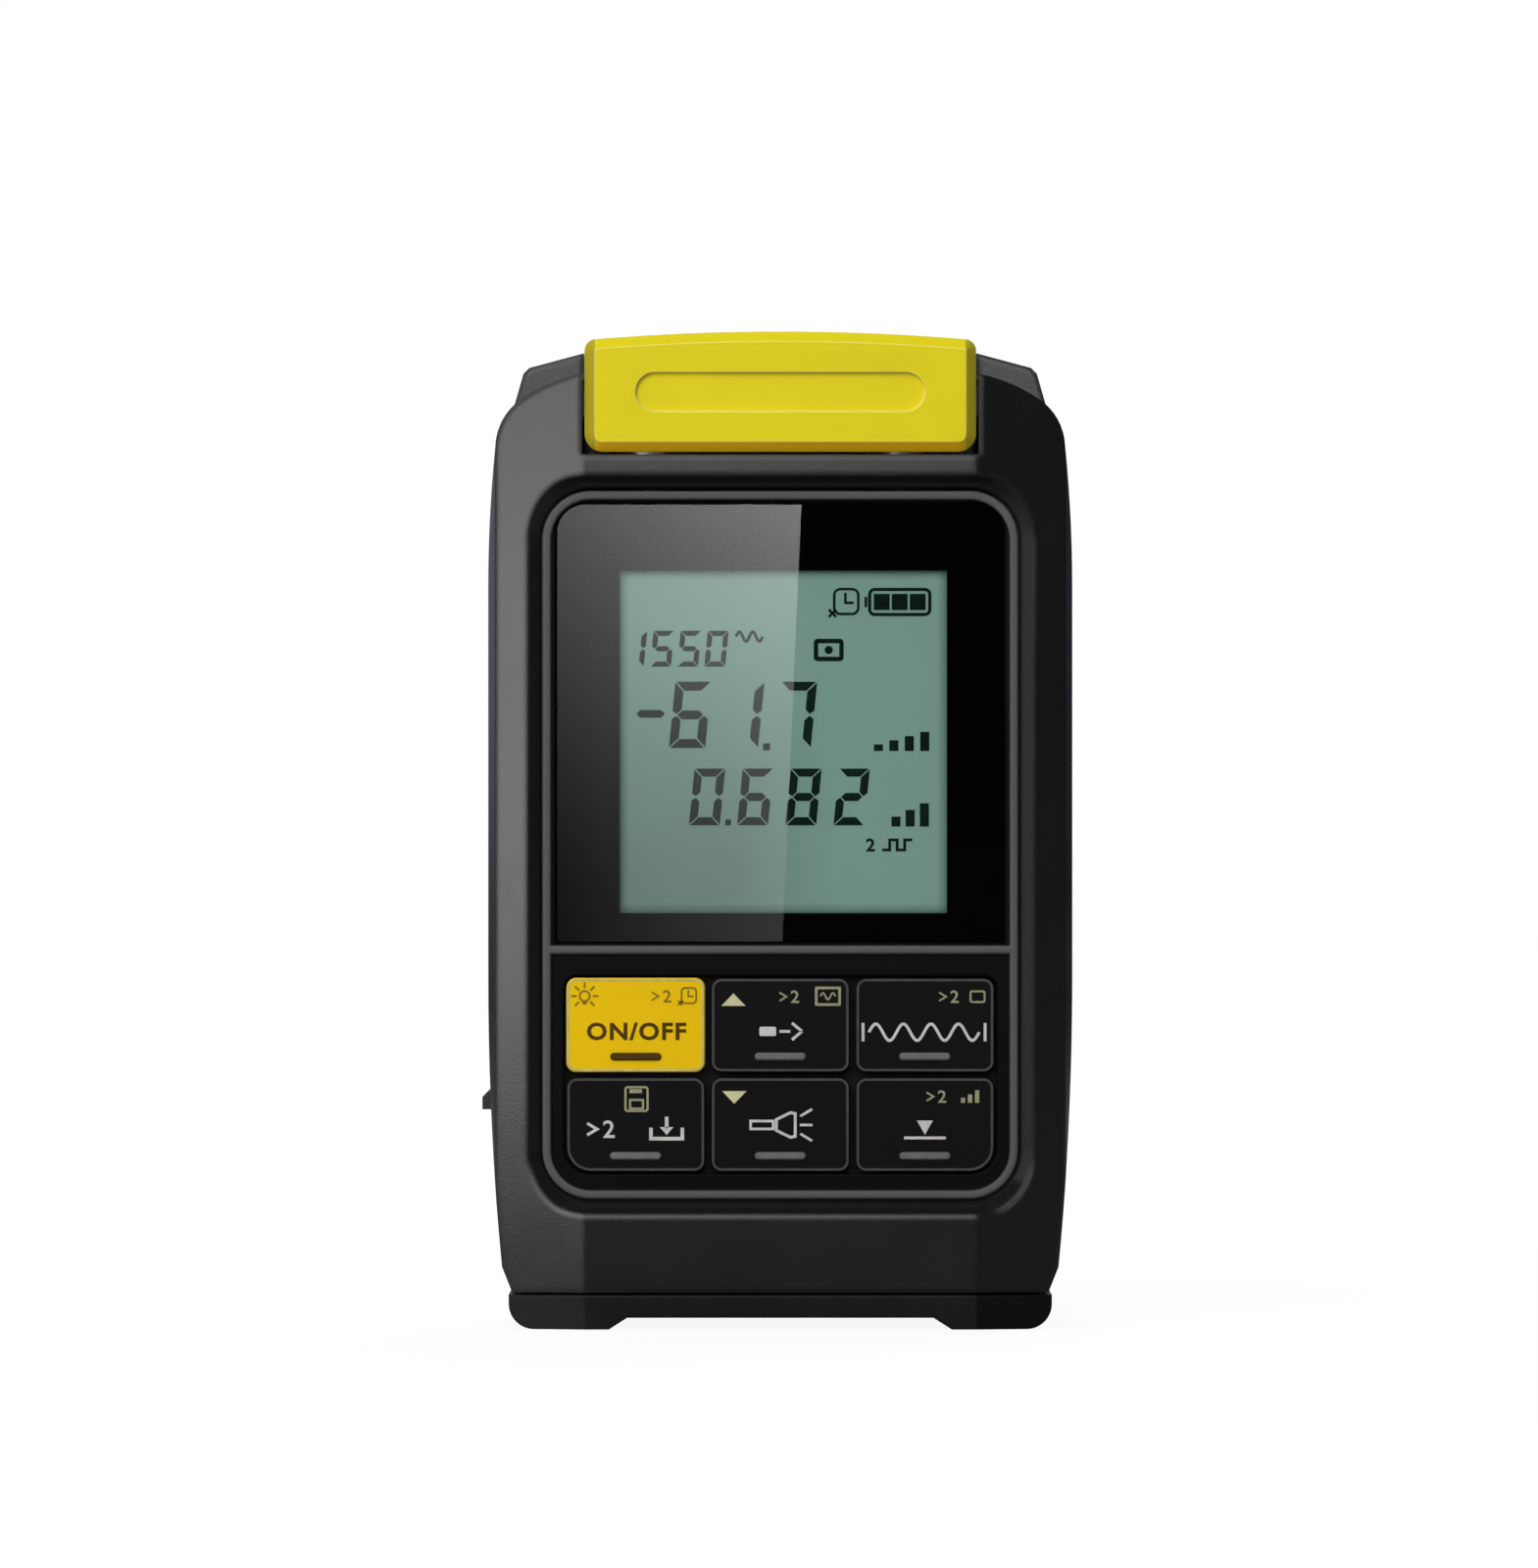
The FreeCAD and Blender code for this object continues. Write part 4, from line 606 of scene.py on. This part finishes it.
def inLoop(point, loop):
    hit = False
    for (ax, az), (bx, bz) in sides(loop):
        if (az > point[1]) != (bz > point[1]):
            if point[0] < (bx - ax) * (point[1] - az) / (bz - az) + ax:
                hit = not hit
    return hit


def boundaryLoops(mesh, corners):
    # outlines of a flat mesh; each island becomes one shape with its holes
    used = {}
    for face in mesh.polygons:
        for a, b in sides(list(face.vertices)):
            if used.pop((b, a), None) is None:
                used[(a, b)] = True
    following = {a: b for a, b in used}
    loops = []
    while following:
        here, loop = next(iter(following)), []
        while here in following:
            loop.append(corners[here])
            here = following.pop(here)
        loops.append(loop)
    sign = math.copysign(1, loopArea(max(loops, key=lambda loop: abs(loopArea(loop)))))
    shapes = [[loop] for loop in loops if loopArea(loop) * sign > 0]
    for hole in (loop for loop in loops if loopArea(loop) * sign < 0):
        around = [shape for shape in shapes if inLoop(hole[0], shape[0])]
        if around:
            around[0].append(hole)
    return shapes


# window: glass bonded to the display, with a black border printed behind it

glassLow, glassHigh = span("display_window")
lcdFront = span("lcd_panel")[0][1]
window = {"corner": 3.5, "edge": 0.15, "printInset": 0.1, "printBehind": 0.01,
          "printDepth": 0.03, "intoBack": 0.02}


def windowLoop(shrink=0.0):
    # straight lower corners, rounded upper corners
    left, right = glassLow[0] + shrink, glassHigh[0] - shrink
    low, high = glassLow[2] + shrink, glassHigh[2] - shrink
    bend = window["corner"] - shrink
    return [(left, low), (right, low)] + arc(right - bend, high - bend, bend, 0, 8) + arc(
        left + bend, high - bend, bend, 90, 8)


def makeWindow():
    mesh = bmesh.new()
    faceY, backY = glassLow[1], glassHigh[1] + window["intoBack"]
    hole = [(viewLeft, viewLow), (viewRight, viewLow), (viewRight, viewHigh),
            (viewLeft, viewHigh)]
    front = ringAt(mesh, windowLoop(window["edge"]), faceY)
    rim = ringAt(mesh, windowLoop(), faceY + window["edge"])
    back = ringAt(mesh, windowLoop(), backY)
    inner = ringAt(mesh, hole, backY)
    deep = ringAt(mesh, hole, lcdFront + window["intoBack"])
    mesh.faces.new(front)
    bridge(mesh, front, rim)
    bridge(mesh, rim, back)
    loops = [[Vector((x, z, 0)) for x, z in loop] for loop in (windowLoop(), hole)]
    flat = back + inner
    for corners in tessellate_polygon(loops):
        mesh.faces.new([flat[corner] for corner in corners])
    bridge(mesh, inner, deep)
    mesh.faces.new(deep)
    piece = addPiece("windowGlass", mesh, finishes["window"], meterBody)
    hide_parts("display_window")
    piece.visible_shadow = False
    border = [windowLoop(window["printInset"]), hole]
    flatMesh("windowBorder", [border], glassHigh[1] - window["printBehind"],
             window["printDepth"], windowBlack, meterBody)


makeWindow()
print("window made")


# display: seven-segment numbers and small symbols, in millimetres from its middle

segmentsOf = {"0": "abcdef", "1": "bc", "2": "abged", "3": "abgcd", "4": "fgbc", "5": "afgcd",
              "6": "afgedc", "7": "abc", "8": "abcdefg", "9": "abfgcd"}
readout = {"lean": 0.1, "behind": 0.005, "thick": 0.03, "rows": (
    {"text": "1550", "x": -18.85, "z": 8.75, "width": 2.5, "height": 4.3, "line": 0.62,
     "pitch": 3.25},
    {"text": "617", "x": -13.35, "z": -1.0, "width": 4.35, "height": 7.95, "line": 1.08,
     "pitch": 6.32},
    {"text": "0682", "x": -10.95, "z": -10.25, "width": 3.7, "height": 6.8, "line": 0.98,
     "pitch": 5.77})}


def digit(symbol, x, z, width, height, line):
    # x, z is the lower left corner; mitred bars with thin gaps between them
    gap, mid, half = line * 0.1, height / 2, line / 2
    top = [(gap, height), (width - gap, height), (width - line - gap, height - line),
           (line + gap, height - line)]
    upper = [(width, height - gap), (width - line, height - line - gap),
             (width - line, mid + half + gap), (width - half, mid + gap),
             (width, mid + half * 0.7 + gap)]
    bar = [(half + gap, mid), (line + gap, mid + half), (width - line - gap, mid + half),
           (width - half - gap, mid), (width - line - gap, mid - half), (line + gap, mid - half)]

    def turnedOver(corners):
        return [(px, height - pz) for px, pz in corners]

    def flipped(corners):
        return [(width - px, pz) for px, pz in corners]

    parts = {"a": top, "b": upper, "c": turnedOver(upper), "d": turnedOver(top),
             "e": flipped(turnedOver(upper)), "f": flipped(upper), "g": bar}
    return [[[(x + px + pz * readout["lean"], z + pz) for px, pz in parts[label]]]
            for label in segmentsOf[symbol]]


def batteryShapes(x, z):
    shapes = [roundedFrame(x, z, 7.6, 3.4, 0.8, 0.4), roundedBlock(x - 4.05, z, 0.35, 1.3, 0.15)]
    return shapes + [block(x + offset, z, 1.92, 1.95) for offset in (-2.15, 0.0, 2.15)]


def clockShapes(x, z, line=0.32):
    # a dial with hands, crossed out at its lower left
    cross = [stroke([(x - 2.0, z - way * 0.45 - 1.35), (x - 1.1, z + way * 0.45 - 1.35)], line)
             for way in (-1, 1)]
    return [roundedFrame(x + 0.1, z + 0.05, 3.2, 3.3, 0.9, line),
            stroke([(x, z + 1.1), (x, z - 0.1), (x + 1.0, z - 0.1)], line)] + cross


def levelShapes(x, z, heights, width, gap):
    # a row of bars that stand on one line
    return [block(x + index * (width + gap) + width / 2, z + tall / 2, width, tall)
            for index, tall in enumerate(heights)]


def waveLine(x, z, width, height, periods, line, steps=14):
    count = int(periods * steps)
    return stroke([(x + width * step / count, z + height / 2 * math.sin(math.tau * step / steps))
                   for step in range(count + 1)], line)


def squareWave(x, z, step, height, line):
    points = [(x, z)]
    for count in range(3):
        x += step
        points += [(x, z), (x, z + height)] if count % 2 == 0 else [(x, z + height), (x, z)]
    return stroke(points + [(x + step, z + height)], line)


def displayShapes():
    shapes = []
    for row in readout["rows"]:
        for index, symbol in enumerate(row["text"]):
            shapes += digit(symbol, row["x"] + index * row["pitch"], row["z"], row["width"],
                            row["height"], row["line"])
    shapes += [
        [[(-17.25, 3.1), (-16.75, 3.57), (-14.3, 3.57), (-13.8, 3.1), (-14.3, 2.63),
          (-16.75, 2.63)]],  # minus sign
        block(-1.65, -0.85, 0.85, 0.85, 0.08), block(-6.25, -9.9, 0.7, 0.72, 0.07)]
    shapes += batteryShapes(14.3, 16.5) + clockShapes(7.8, 16.5)
    shapes += [waveLine(-5.3, 12.35, 3.2, 1.15, 2, 0.36),
               roundedFrame(5.8, 10.75, 3.6, 2.7, 0.5, 0.55), disc(5.8, 10.75, 0.5, 16)]
    shapes += levelShapes(11.2, -1.35, (0.8, 1.3, 1.8, 2.3), 1.1, 0.75)
    shapes += levelShapes(13.3, -10.4, (1.2, 2.0, 2.8), 1.1, 0.6)
    shapes += lettering("2", 10.8, -12.6, 1.1, 1.6, bold=0.03)
    return shapes + [squareWave(12.2, -13.2, 0.9, 1.2, 0.36)]


flatMesh("displayReadout", moved(displayShapes(), displayX, displayZ),
         lcdFront - readout["behind"], readout["thick"], displaySegments, meterBody)
print("display made")


# keys: painted edge highlights, legends and the raised dashes

keyStyle = {"lineInset": 0.12, "lineWidth": 0.3, "lineRise": 0.03, "legendRise": 0.03,
            "bend": 1.27, "outerBend": 2.92, "dashRise": 0.2, "dashUp": 1.9, "dashWide": 6.1,
            "dashTall": 0.9, "dashCrown": 0.18, "dashSkin": 0.01}


def keyFace(name):
    low, high = span("key_" + name)
    x, _, z = middle("key_" + name)
    return x, z, high[0] - low[0], high[2] - low[2], low[1] + keyStyle["dashRise"]


def keyLoop(name, inset):
    # like the key's own outline, whose outer lower corner is wider on the lower row's end keys
    x, z, width, height, _ = keyFace(name)
    w, h = width / 2 - inset, height / 2 - inset
    wide = {"save": 3, "reference": 0}.get(name)
    loop = []
    for corner, (sx, sz) in enumerate(((1, -1), (1, 1), (-1, 1), (-1, -1))):
        bend = keyStyle["outerBend" if corner == wide else "bend"] - inset
        loop += arc(x + sx * (w - bend), z + sz * (h - bend), bend, 90 * corner - 90, 6)
    return loop


def crownedBar(name, x, z, faceY, material, body):
    # painted skin of the raised dash: upright sides, then a sloping edge round its flat top
    crown, skin = keyStyle["dashCrown"], keyStyle["dashSkin"]
    mesh = bmesh.new()
    rings = []
    for shrink, rise in ((0.0, 0.0), (0.0, keyStyle["dashRise"] + skin),
                         (crown, keyStyle["dashRise"] + crown)):
        width, height = keyStyle["dashWide"] - 2 * shrink, keyStyle["dashTall"] - 2 * shrink
        loop = roundedLoop(x, z, width, height, height / 2 - skin)
        rings.append(ringAt(mesh, loop, faceY - rise))
    for first, second in zip(rings, rings[1:]):
        bridge(mesh, first, second)
    mesh.faces.new(rings[0][::-1])
    mesh.faces.new(rings[-1])
    addPiece(name, mesh, material, body)


def bulbShapes(x, z, line=0.24):
    # a small lamp bulb with rays round it, none at its foot
    shapes = [circleLine(x, z + 0.12, 0.6, line), block(x, z - 0.72, 0.55, 0.3)]
    for turn in (0, 1, 2, 3, 5, 6, 7):
        angle = math.radians(90 + 45 * turn)
        ray = Vector((math.cos(angle), math.sin(angle)))
        shapes.append(stroke([(x + ray.x * reach, z + 0.12 + ray.y * reach)
                              for reach in (0.95, 1.65)], line))
    return shapes


def holdShapes(x, z, line=0.2):
    # a chevron and a plain 2
    return [stroke([(x - 0.5, z + 0.5), (x + 0.35, z), (x - 0.5, z - 0.5)], line)] + lettering(
        "2", x + 1.35, z, 1.0, 1.5)


def torchShapes(x, z, line=0.3):
    # a hand torch: handle, flared head and three rays
    handle = [(-3.9, -0.62), (-0.9, -0.62), (-0.9, 0.62), (-3.9, 0.62)]
    handleHole = [(line - 3.9, line - 0.62), (-0.9 - line, line - 0.62),
                  (-0.9 - line, 0.62 - line), (line - 3.9, 0.62 - line)]
    head = [(-0.85, -0.75), (1.0, -1.65), (1.75, -1.5), (1.75, 1.5), (1.0, 1.65), (-0.85, 0.75)]
    headHole = [(-0.5, -0.55), (1.05, -1.3), (1.42, -1.2), (1.42, 1.2), (1.05, 1.3), (-0.5, 0.55)]
    rays = [stroke([(2.2, way * 1.05), (3.6, way * 1.9)], line) for way in (-1, 1)]
    return moved([[handle, handleHole], [head, headHole], block(2.9, 0, 1.5, line)] + rays, x, z)


def diskShapes(x, z, line=0.26):
    # a memory disk: case, shutter and label field
    return [roundedFrame(x, z, 2.9, 3.1, 0.4, line),
            roundedFrame(x, z - 0.62, 1.8, 1.3, 0.1, line), block(x - 0.1, z + 0.95, 1.5, 0.5)]


def framedWaveShapes(x, z, line=0.312):
    return [roundedFrame(x, z, 3.1, 2.3, 0.15, line), waveLine(x - 0.9, z, 1.8, 0.8, 1.5, 0.2)]


def trayShapes(x, z, line=0.34):
    # an arrow down into a tray
    tray = [(x - 1.5, z + 0.1), (x - 1.5, z - 0.95), (x + 1.5, z - 0.95), (x + 1.5, z + 0.1)]
    return [stroke(tray, line), block(x, z + 0.6, line, 1.1), triangle(x, z - 0.22, 1.3, -0.75)]


def beamShapes(x, z, line=0.34):
    # a fibre end with light leaving it
    return [roundedBlock(x - 1.7, z, 2.0, 1.1, 0.2), block(x + 0.35, z, 1.3, line)] + [
        stroke([(x + 1.2, z + way), (x + 2.4, z)], line) for way in (1.0, -1.0)]


def endedWaveShapes(x, z, line=0.34):
    # a wave between two end marks
    return [waveLine(x - 6.6, z, 13.2, 2.0, 4, line), block(x - 7.3, z, line, 2.2),
            block(x + 7.3, z, line, 2.2)]


def levelMarkShapes(x, z, line=0.34):
    # a marker that points at a base line
    return [block(x, z - 0.95, 5.0, line), triangle(x, z + 0.28, 1.9, -1.7)]


# ink and shapes, in millimetres from the middle of the key
legends = {
    "power": ((legendBrown, lettering("ON/OFF", 0.1, -0.75, 11.9, 2.15, bold=0.03, spread=1.12)),
              (legendOlive, bulbShapes(-6.1, 3.35) + holdShapes(2.4, 3.45) + moved(
                  clockShapes(0, 0, 0.36), 6.3, 3.5, 0.62))),
    "laser": ((legendArrow, [triangle(-5.6, 3.05, 2.9, 1.5)]),
              (legendPale, holdShapes(0.4, 3.4) + framedWaveShapes(5.7, 3.45)),
              (legendWhite, beamShapes(0.2, -0.75))),
    "wavelength": ((legendPale, holdShapes(2.2, 3.4) + [
        roundedFrame(6.3, 3.4, 1.9, 1.5, 0.3, 0.22)]), (legendWhite, endedWaveShapes(-0.1, -0.85))),
    "save": ((legendPale, diskShapes(0.1, 3.05)),
             (legendWhite, moved(holdShapes(0, 0, 0.24), -5.1, -0.55, 1.4) + moved(
                 trayShapes(0, 0), 3.7, -0.5, 1.25))),
    "torch": ((legendArrow, [triangle(-5.5, 3.25, 2.9, -1.5)]),
              (legendWhite, torchShapes(0.2, -0.05))),
    "reference": ((legendPale, holdShapes(0.7, 3.35) + levelShapes(
        4.3, 2.6, (0.6, 1.0, 1.5), 0.5, 0.35)), (legendWhite, levelMarkShapes(0.0, -0.65))),
}
for name, prints in legends.items():
    x, z, _, height, faceY = keyFace(name)
    body, slot, highlightInk, dashInk = "key_" + name, "key", keyEdgeHighlightGrey, dashGrey
    if name == "power":
        slot, highlightInk, dashInk = "yellow_key", keyEdgeHighlightGold, legendBrown
    # a painted highlight line just inside each key's edge
    inset = keyStyle["lineInset"]
    outline = [keyLoop(name, inset), keyLoop(name, inset + keyStyle["lineWidth"])]
    flatMesh(name + "KeyEdgeHighlight", [outline], faceY, keyStyle["lineRise"], highlightInk, body)
    crownedBar(name + "KeyDash", x, z - height / 2 + keyStyle["dashUp"], faceY, dashInk, body)
    for number, (ink, shapes) in enumerate(prints, 1):
        flatMesh(f"{name}KeyLegend{number}", moved(shapes, x, z), faceY, keyStyle["legendRise"],
                 ink, body)
print("keys made")


# threads on the two optical ports: low and top are depths below the end of the port

threads = {
    "meterPortThread": {"node": "power_meter_port", "radius": 4.0, "depth": 0.28, "pitch": 0.75,
                        "low": 0.6, "top": 5.6, "steps": 40},
    "laserPortThread": {"node": "laser_port", "radius": 3.0, "depth": 0.25, "pitch": 0.7,
                        "low": 0.6, "top": 4.4, "steps": 36},
}
ridge = {"sunk": 0.06, "crest": 0.108, "root": 0.45, "runOut": 8}


def makeThread(name, thread):
    # a helical ridge round a barrel, which fades out at both ends
    x, y, _ = middle(thread["node"])
    start = span(thread["node"])[1][2] - thread["top"]
    pitch, steps, runOut = thread["pitch"], thread["steps"], ridge["runOut"]
    count = int((thread["top"] - thread["low"]) / pitch * steps)
    mesh = bmesh.new()
    rings = []
    for step in range(count + 1):
        angle = math.tau * step / steps
        z = start + pitch * step / steps
        depth = thread["depth"] * min(1.0, step / runOut, (count - step) / runOut)
        rings.append([mesh.verts.new(((x + (thread["radius"] + out) * math.cos(angle)) * mm,
                                      (y + (thread["radius"] + out) * math.sin(angle)) * mm,
                                      (z + up * pitch) * mm))
                      for out, up in ((-ridge["sunk"], -ridge["root"]), (depth, -ridge["crest"]),
                                      (depth, ridge["crest"]), (-ridge["sunk"], ridge["root"]))])
    for first, second in zip(rings, rings[1:]):
        bridge(mesh, first, second)
    mesh.faces.new(rings[0])
    mesh.faces.new(rings[-1][::-1])
    addPiece(name, mesh, finishes["nickel"], meterBody, smooth=30)


for name, thread in threads.items():
    makeThread(name, thread)
print("threads made")


# battery pack: tape, a plain label and pole marks on its wrap, in millimetres from its middle

pack = {"film": 0.05, "print": 0.03, "tape": (0.0, 19.65, 32.0, 4.0),
        "label": (0.0, -1.35, 23.0, 26.0, 1.2), "sign": (0.0, 5.15, 1.4),
        "lines": ((0.0, -1.35, 16.0, 1.1), (0.0, -4.55, 16.0, 1.1), (0.0, -7.75, 10.0, 1.1)),
        "poleDown": -20.85, "poleOut": 6.0, "poleReach": 1.4, "poleLine": 0.8}


def makePackMarks():
    x, _, z = middle("battery_pack")
    backY = span("battery_pack")[1][1]
    reach, half = pack["poleReach"], pack["poleLine"] / 2
    plusSign = [[(half, half), (half, reach), (-half, reach), (-half, half), (-reach, half),
                 (-reach, -half), (-half, -half), (-half, -reach), (half, -reach),
                 (half, -half), (reach, -half), (reach, half)]]
    minusSign = block(-pack["poleOut"], pack["poleDown"], 2 * reach, 2 * half)
    marks = {
        "packTape": ([block(*pack["tape"])], 0.0, pack["film"], tapeAmber),
        "packLabel": ([roundedBlock(*pack["label"])], 0.0, pack["film"], labelGrey),
        "packPrint": (moved(batteryShapes(0, 0), *pack["sign"]) + [
            block(*line) for line in pack["lines"]], pack["film"], pack["print"], labelInk),
        "packPoles": ([minusSign] + moved([plusSign], pack["poleOut"], pack["poleDown"]), 0.0,
                      pack["print"], labelGrey),
    }
    for name, (shapes, under, thick, ink) in marks.items():
        flatMesh(name, moved(shapes, x, z), backY + under, -thick, ink, meterBody)


makePackMarks()
print("battery marks made")


# studio: pale floor and background, soft lights, camera; lengths in metres, turns in degrees

studio = {"floorSize": 12.0, "floorBounce": 0.13, "floorCloud": 1.1, "floorSeen": 0.11,
          "floorLit": 0.42, "darkLeft": -40.0, "darkRight": 70.0, "darkSoft": 25.0,
          "litNear": 0.7, "litFar": 1.2, "glowNear": 0.91, "glowFar": 1.0, "glowStart": 0.25,
          "glowEnd": 0.8, "background": 1.02, "front": (0.010, 0.010, 0.011),
          "backLeft": (0.46, 0.51, 0.60), "backRight": (0.075, 0.084, 0.10),
          "backRise": (-0.1, 0.7), "rightRise": (-0.5, 0.5)}


def grey(value):
    return (value,) * 3


def stagePanel(name, corners, material):
    data = bpy.data.meshes.new(name)
    data.from_pydata(corners, [], [tuple(range(len(corners)))])
    data.materials.append(material)
    panel = newObject(name, data)
    return panel


def makeFloor():
    # pale paper: white to the camera, with a faint shadow near the object; as a light source it
    # is dim in front of the object, as under a black flag, and pale near its sides and back
    material, tree = newMaterial("floorPaper", {"Roughness": 0.9, "Specular IOR Level": 0.0,
                                                "Emission Color": opaque((1, 1, 1))})
    camera = addNode(tree, "LightPath").outputs["Is Camera Ray"]
    where = place(tree)
    away = addNode(tree, "VectorMath", {0: where}, operation="LENGTH").outputs["Value"]
    noise = addNode(tree, "TexNoise", {"Vector": where, "Scale": 40.0})
    bounce = blend(tree, noise.outputs["Fac"], grey(studio["floorBounce"]),
                   grey(studio["floorBounce"] * studio["floorCloud"]))
    tone = blend(tree, camera, bounce, grey(studio["floorSeen"]))
    glow = ramp(tree, away, studio["glowStart"], studio["glowEnd"], studio["glowNear"],
                studio["glowFar"])
    x, y, _ = axes(tree, where)
    turn = calculate(tree, "ARCTAN2", x, times(tree, y, -1.0))
    left, right, soft = (math.radians(studio[key]) for key in ("darkLeft", "darkRight",
                                                               "darkSoft"))
    lit = calculate(tree, "MAXIMUM", ramp(tree, turn, left, left - soft),
                    ramp(tree, turn, right, right + soft))
    near = ramp(tree, away, studio["litNear"], studio["litFar"], 1.0, 0.0)
    lit = times(tree, times(tree, lit, near), studio["floorLit"])
    glow = addNode(tree, "Mix", {0: camera, 2: lit, 3: glow}).outputs[0]
    finished(material, tone, **{"Emission Strength": glow})
    reach = studio["floorSize"]
    stagePanel("floor", [(-reach, -reach, 0), (reach, -reach, 0), (reach, reach, 0),
                         (-reach, reach, 0)], material)


def makeWorld():
    # white behind the object; for light, a soft sky that is brighter behind than in front
    world = bpy.data.worlds.new("studioSky")
    bpy.context.scene.world = world
    world.use_nodes = True
    tree = world.node_tree
    tree.nodes.clear()
    x, y, _ = axes(tree, addNode(tree, "TexCoord").outputs["Generated"])
    toBack = ramp(tree, y, *studio["backRise"])
    toRight = ramp(tree, x, *studio["rightRise"])
    back = blend(tree, toRight, studio["backLeft"], studio["backRight"])
    sky = blend(tree, toBack, studio["front"], back)
    seen = addNode(tree, "LightPath").outputs["Is Camera Ray"]
    sky = blend(tree, seen, sky, grey(studio["background"]))
    background = addNode(tree, "Background", {"Color": sky, "Strength": 1.0})
    addNode(tree, "OutputWorld", {"Surface": background.outputs[0]})


# place, aim and size in metres; power in watts
warm = (1.0, 0.985, 0.965)
lights = {
    "keyStrip": {"place": (-0.43, -0.73, 0.0665), "aim": (0, 0, 0.0665), "size": (0.26, 0.117),
                 "power": 0.43, "colour": warm},
    "keyLight": {"place": (-0.45, -0.78, 0.64), "aim": (0, 0, 0.06), "size": (0.35, 0.35),
                 "power": 1.1, "colour": warm},
    "sideLight": {"place": (-0.83, -0.56, 0.30), "aim": (0, 0, 0.30), "size": (0.25, 0.60),
                  "power": 0.28, "colour": warm},
    "frontLight": {"place": (-0.25, -1.0, 0.617), "aim": (-0.25, 0, 0.617),
                   "size": (1.0, 0.95), "power": 10.0, "colour": (1.0, 0.99, 0.98)},
    "highLight": {"place": (-0.25, -0.75, 1.05), "aim": (0, 0, 0.08), "size": (0.6, 0.5),
                  "power": 3.0, "colour": (1.0, 0.99, 0.975)},
    "topLight": {"place": (-0.10, 0.30, 0.95), "aim": (0, 0, 0.08), "size": (0.6, 0.5),
                 "power": 1.2, "colour": (1, 1, 1)},
    "backFill": {"place": (0.25, 1.0, 0.85), "aim": (0, 0, 0.06), "size": (0.9, 0.7),
                 "power": 9.0, "colour": (0.95, 0.97, 1.0)},
}


def makeLights():
    for name, light in lights.items():
        data = bpy.data.lights.new(name, "AREA")
        data.shape = "RECTANGLE"
        data.size, data.size_y = light["size"]
        data.energy = light["power"]
        data.color = light["colour"]
        lamp = newObject(name, data)
        lamp.location = light["place"]
        way = Vector(light["aim"]) - Vector(light["place"])
        lamp.rotation_euler = way.to_track_quat("-Z", "Y").to_euler()
        lamp.visible_camera = False


# in millimetres; strength grows upwards and towards the upright edge
card = {"y": -1750.0, "left": -70.0, "edgeTop": 7.4, "edgeLow": 1.3, "low": 10.0,
        "high": 150.0, "base": 0.15, "upward": 2.0, "power": 1.9, "inward": 0.75, "both": 2.0,
        "upRise": (25.0, 135.0), "inRise": (-55.0, 7.0), "colour": (1.0, 0.99, 0.98)}


def makeCard():
    # a graded card whose mirror image lies over the left half of the window
    material = bpy.data.materials.new("cardGlow")
    material.use_nodes = True
    tree = material.node_tree
    tree.nodes.clear()
    x, _, z = axes(tree, place(tree))
    upward = calculate(tree, "POWER", between(tree, z, *card["upRise"]), card["power"])
    inward = between(tree, x, *card["inRise"])
    rise = plus(tree, times(tree, upward, card["upward"]), card["base"])
    slope = plus(tree, times(tree, upward, card["both"]), card["inward"])
    bright = plus(tree, rise, times(tree, slope, inward))
    glow = addNode(tree, "Emission", {"Color": opaque(card["colour"]), "Strength": bright})
    addNode(tree, "OutputMaterial", {"Surface": glow.outputs[0]})
    corners = ((card["left"], card["low"]), (card["edgeLow"], card["low"]),
               (card["edgeTop"], card["high"]), (card["left"], card["high"]))
    panel = stagePanel("reflectionCard", [(x * mm, card["y"] * mm, z * mm) for x, z in corners],
                       material)
    panel.visible_camera = False


# side, height, tall (what the view takes in) and sensor in millimetres, the rest in metres
cameraView = {"side": -1.35, "height": 65.2, "distance": 1.6, "tall": 187.3, "sensor": 36.0,
              "far": 40.0}


def makeCamera():
    data = bpy.data.cameras.new("frontCamera")
    data.sensor_width = cameraView["sensor"]
    data.lens = cameraView["sensor"] * cameraView["distance"] / (cameraView["tall"] * mm)
    data.clip_end = cameraView["far"]
    camera = newObject("frontCamera", data)
    camera.location = (cameraView["side"] * mm, cadLow[1] - cameraView["distance"],
                       cameraView["height"] * mm)
    camera.rotation_euler = (math.radians(90), 0, 0)
    bpy.context.scene.camera = camera


makeFloor()
makeWorld()
makeLights()
makeCard()
makeCamera()
bpy.context.scene.view_settings.view_transform = "Standard"
bpy.context.scene.view_settings.look = "None"
print("studio made")
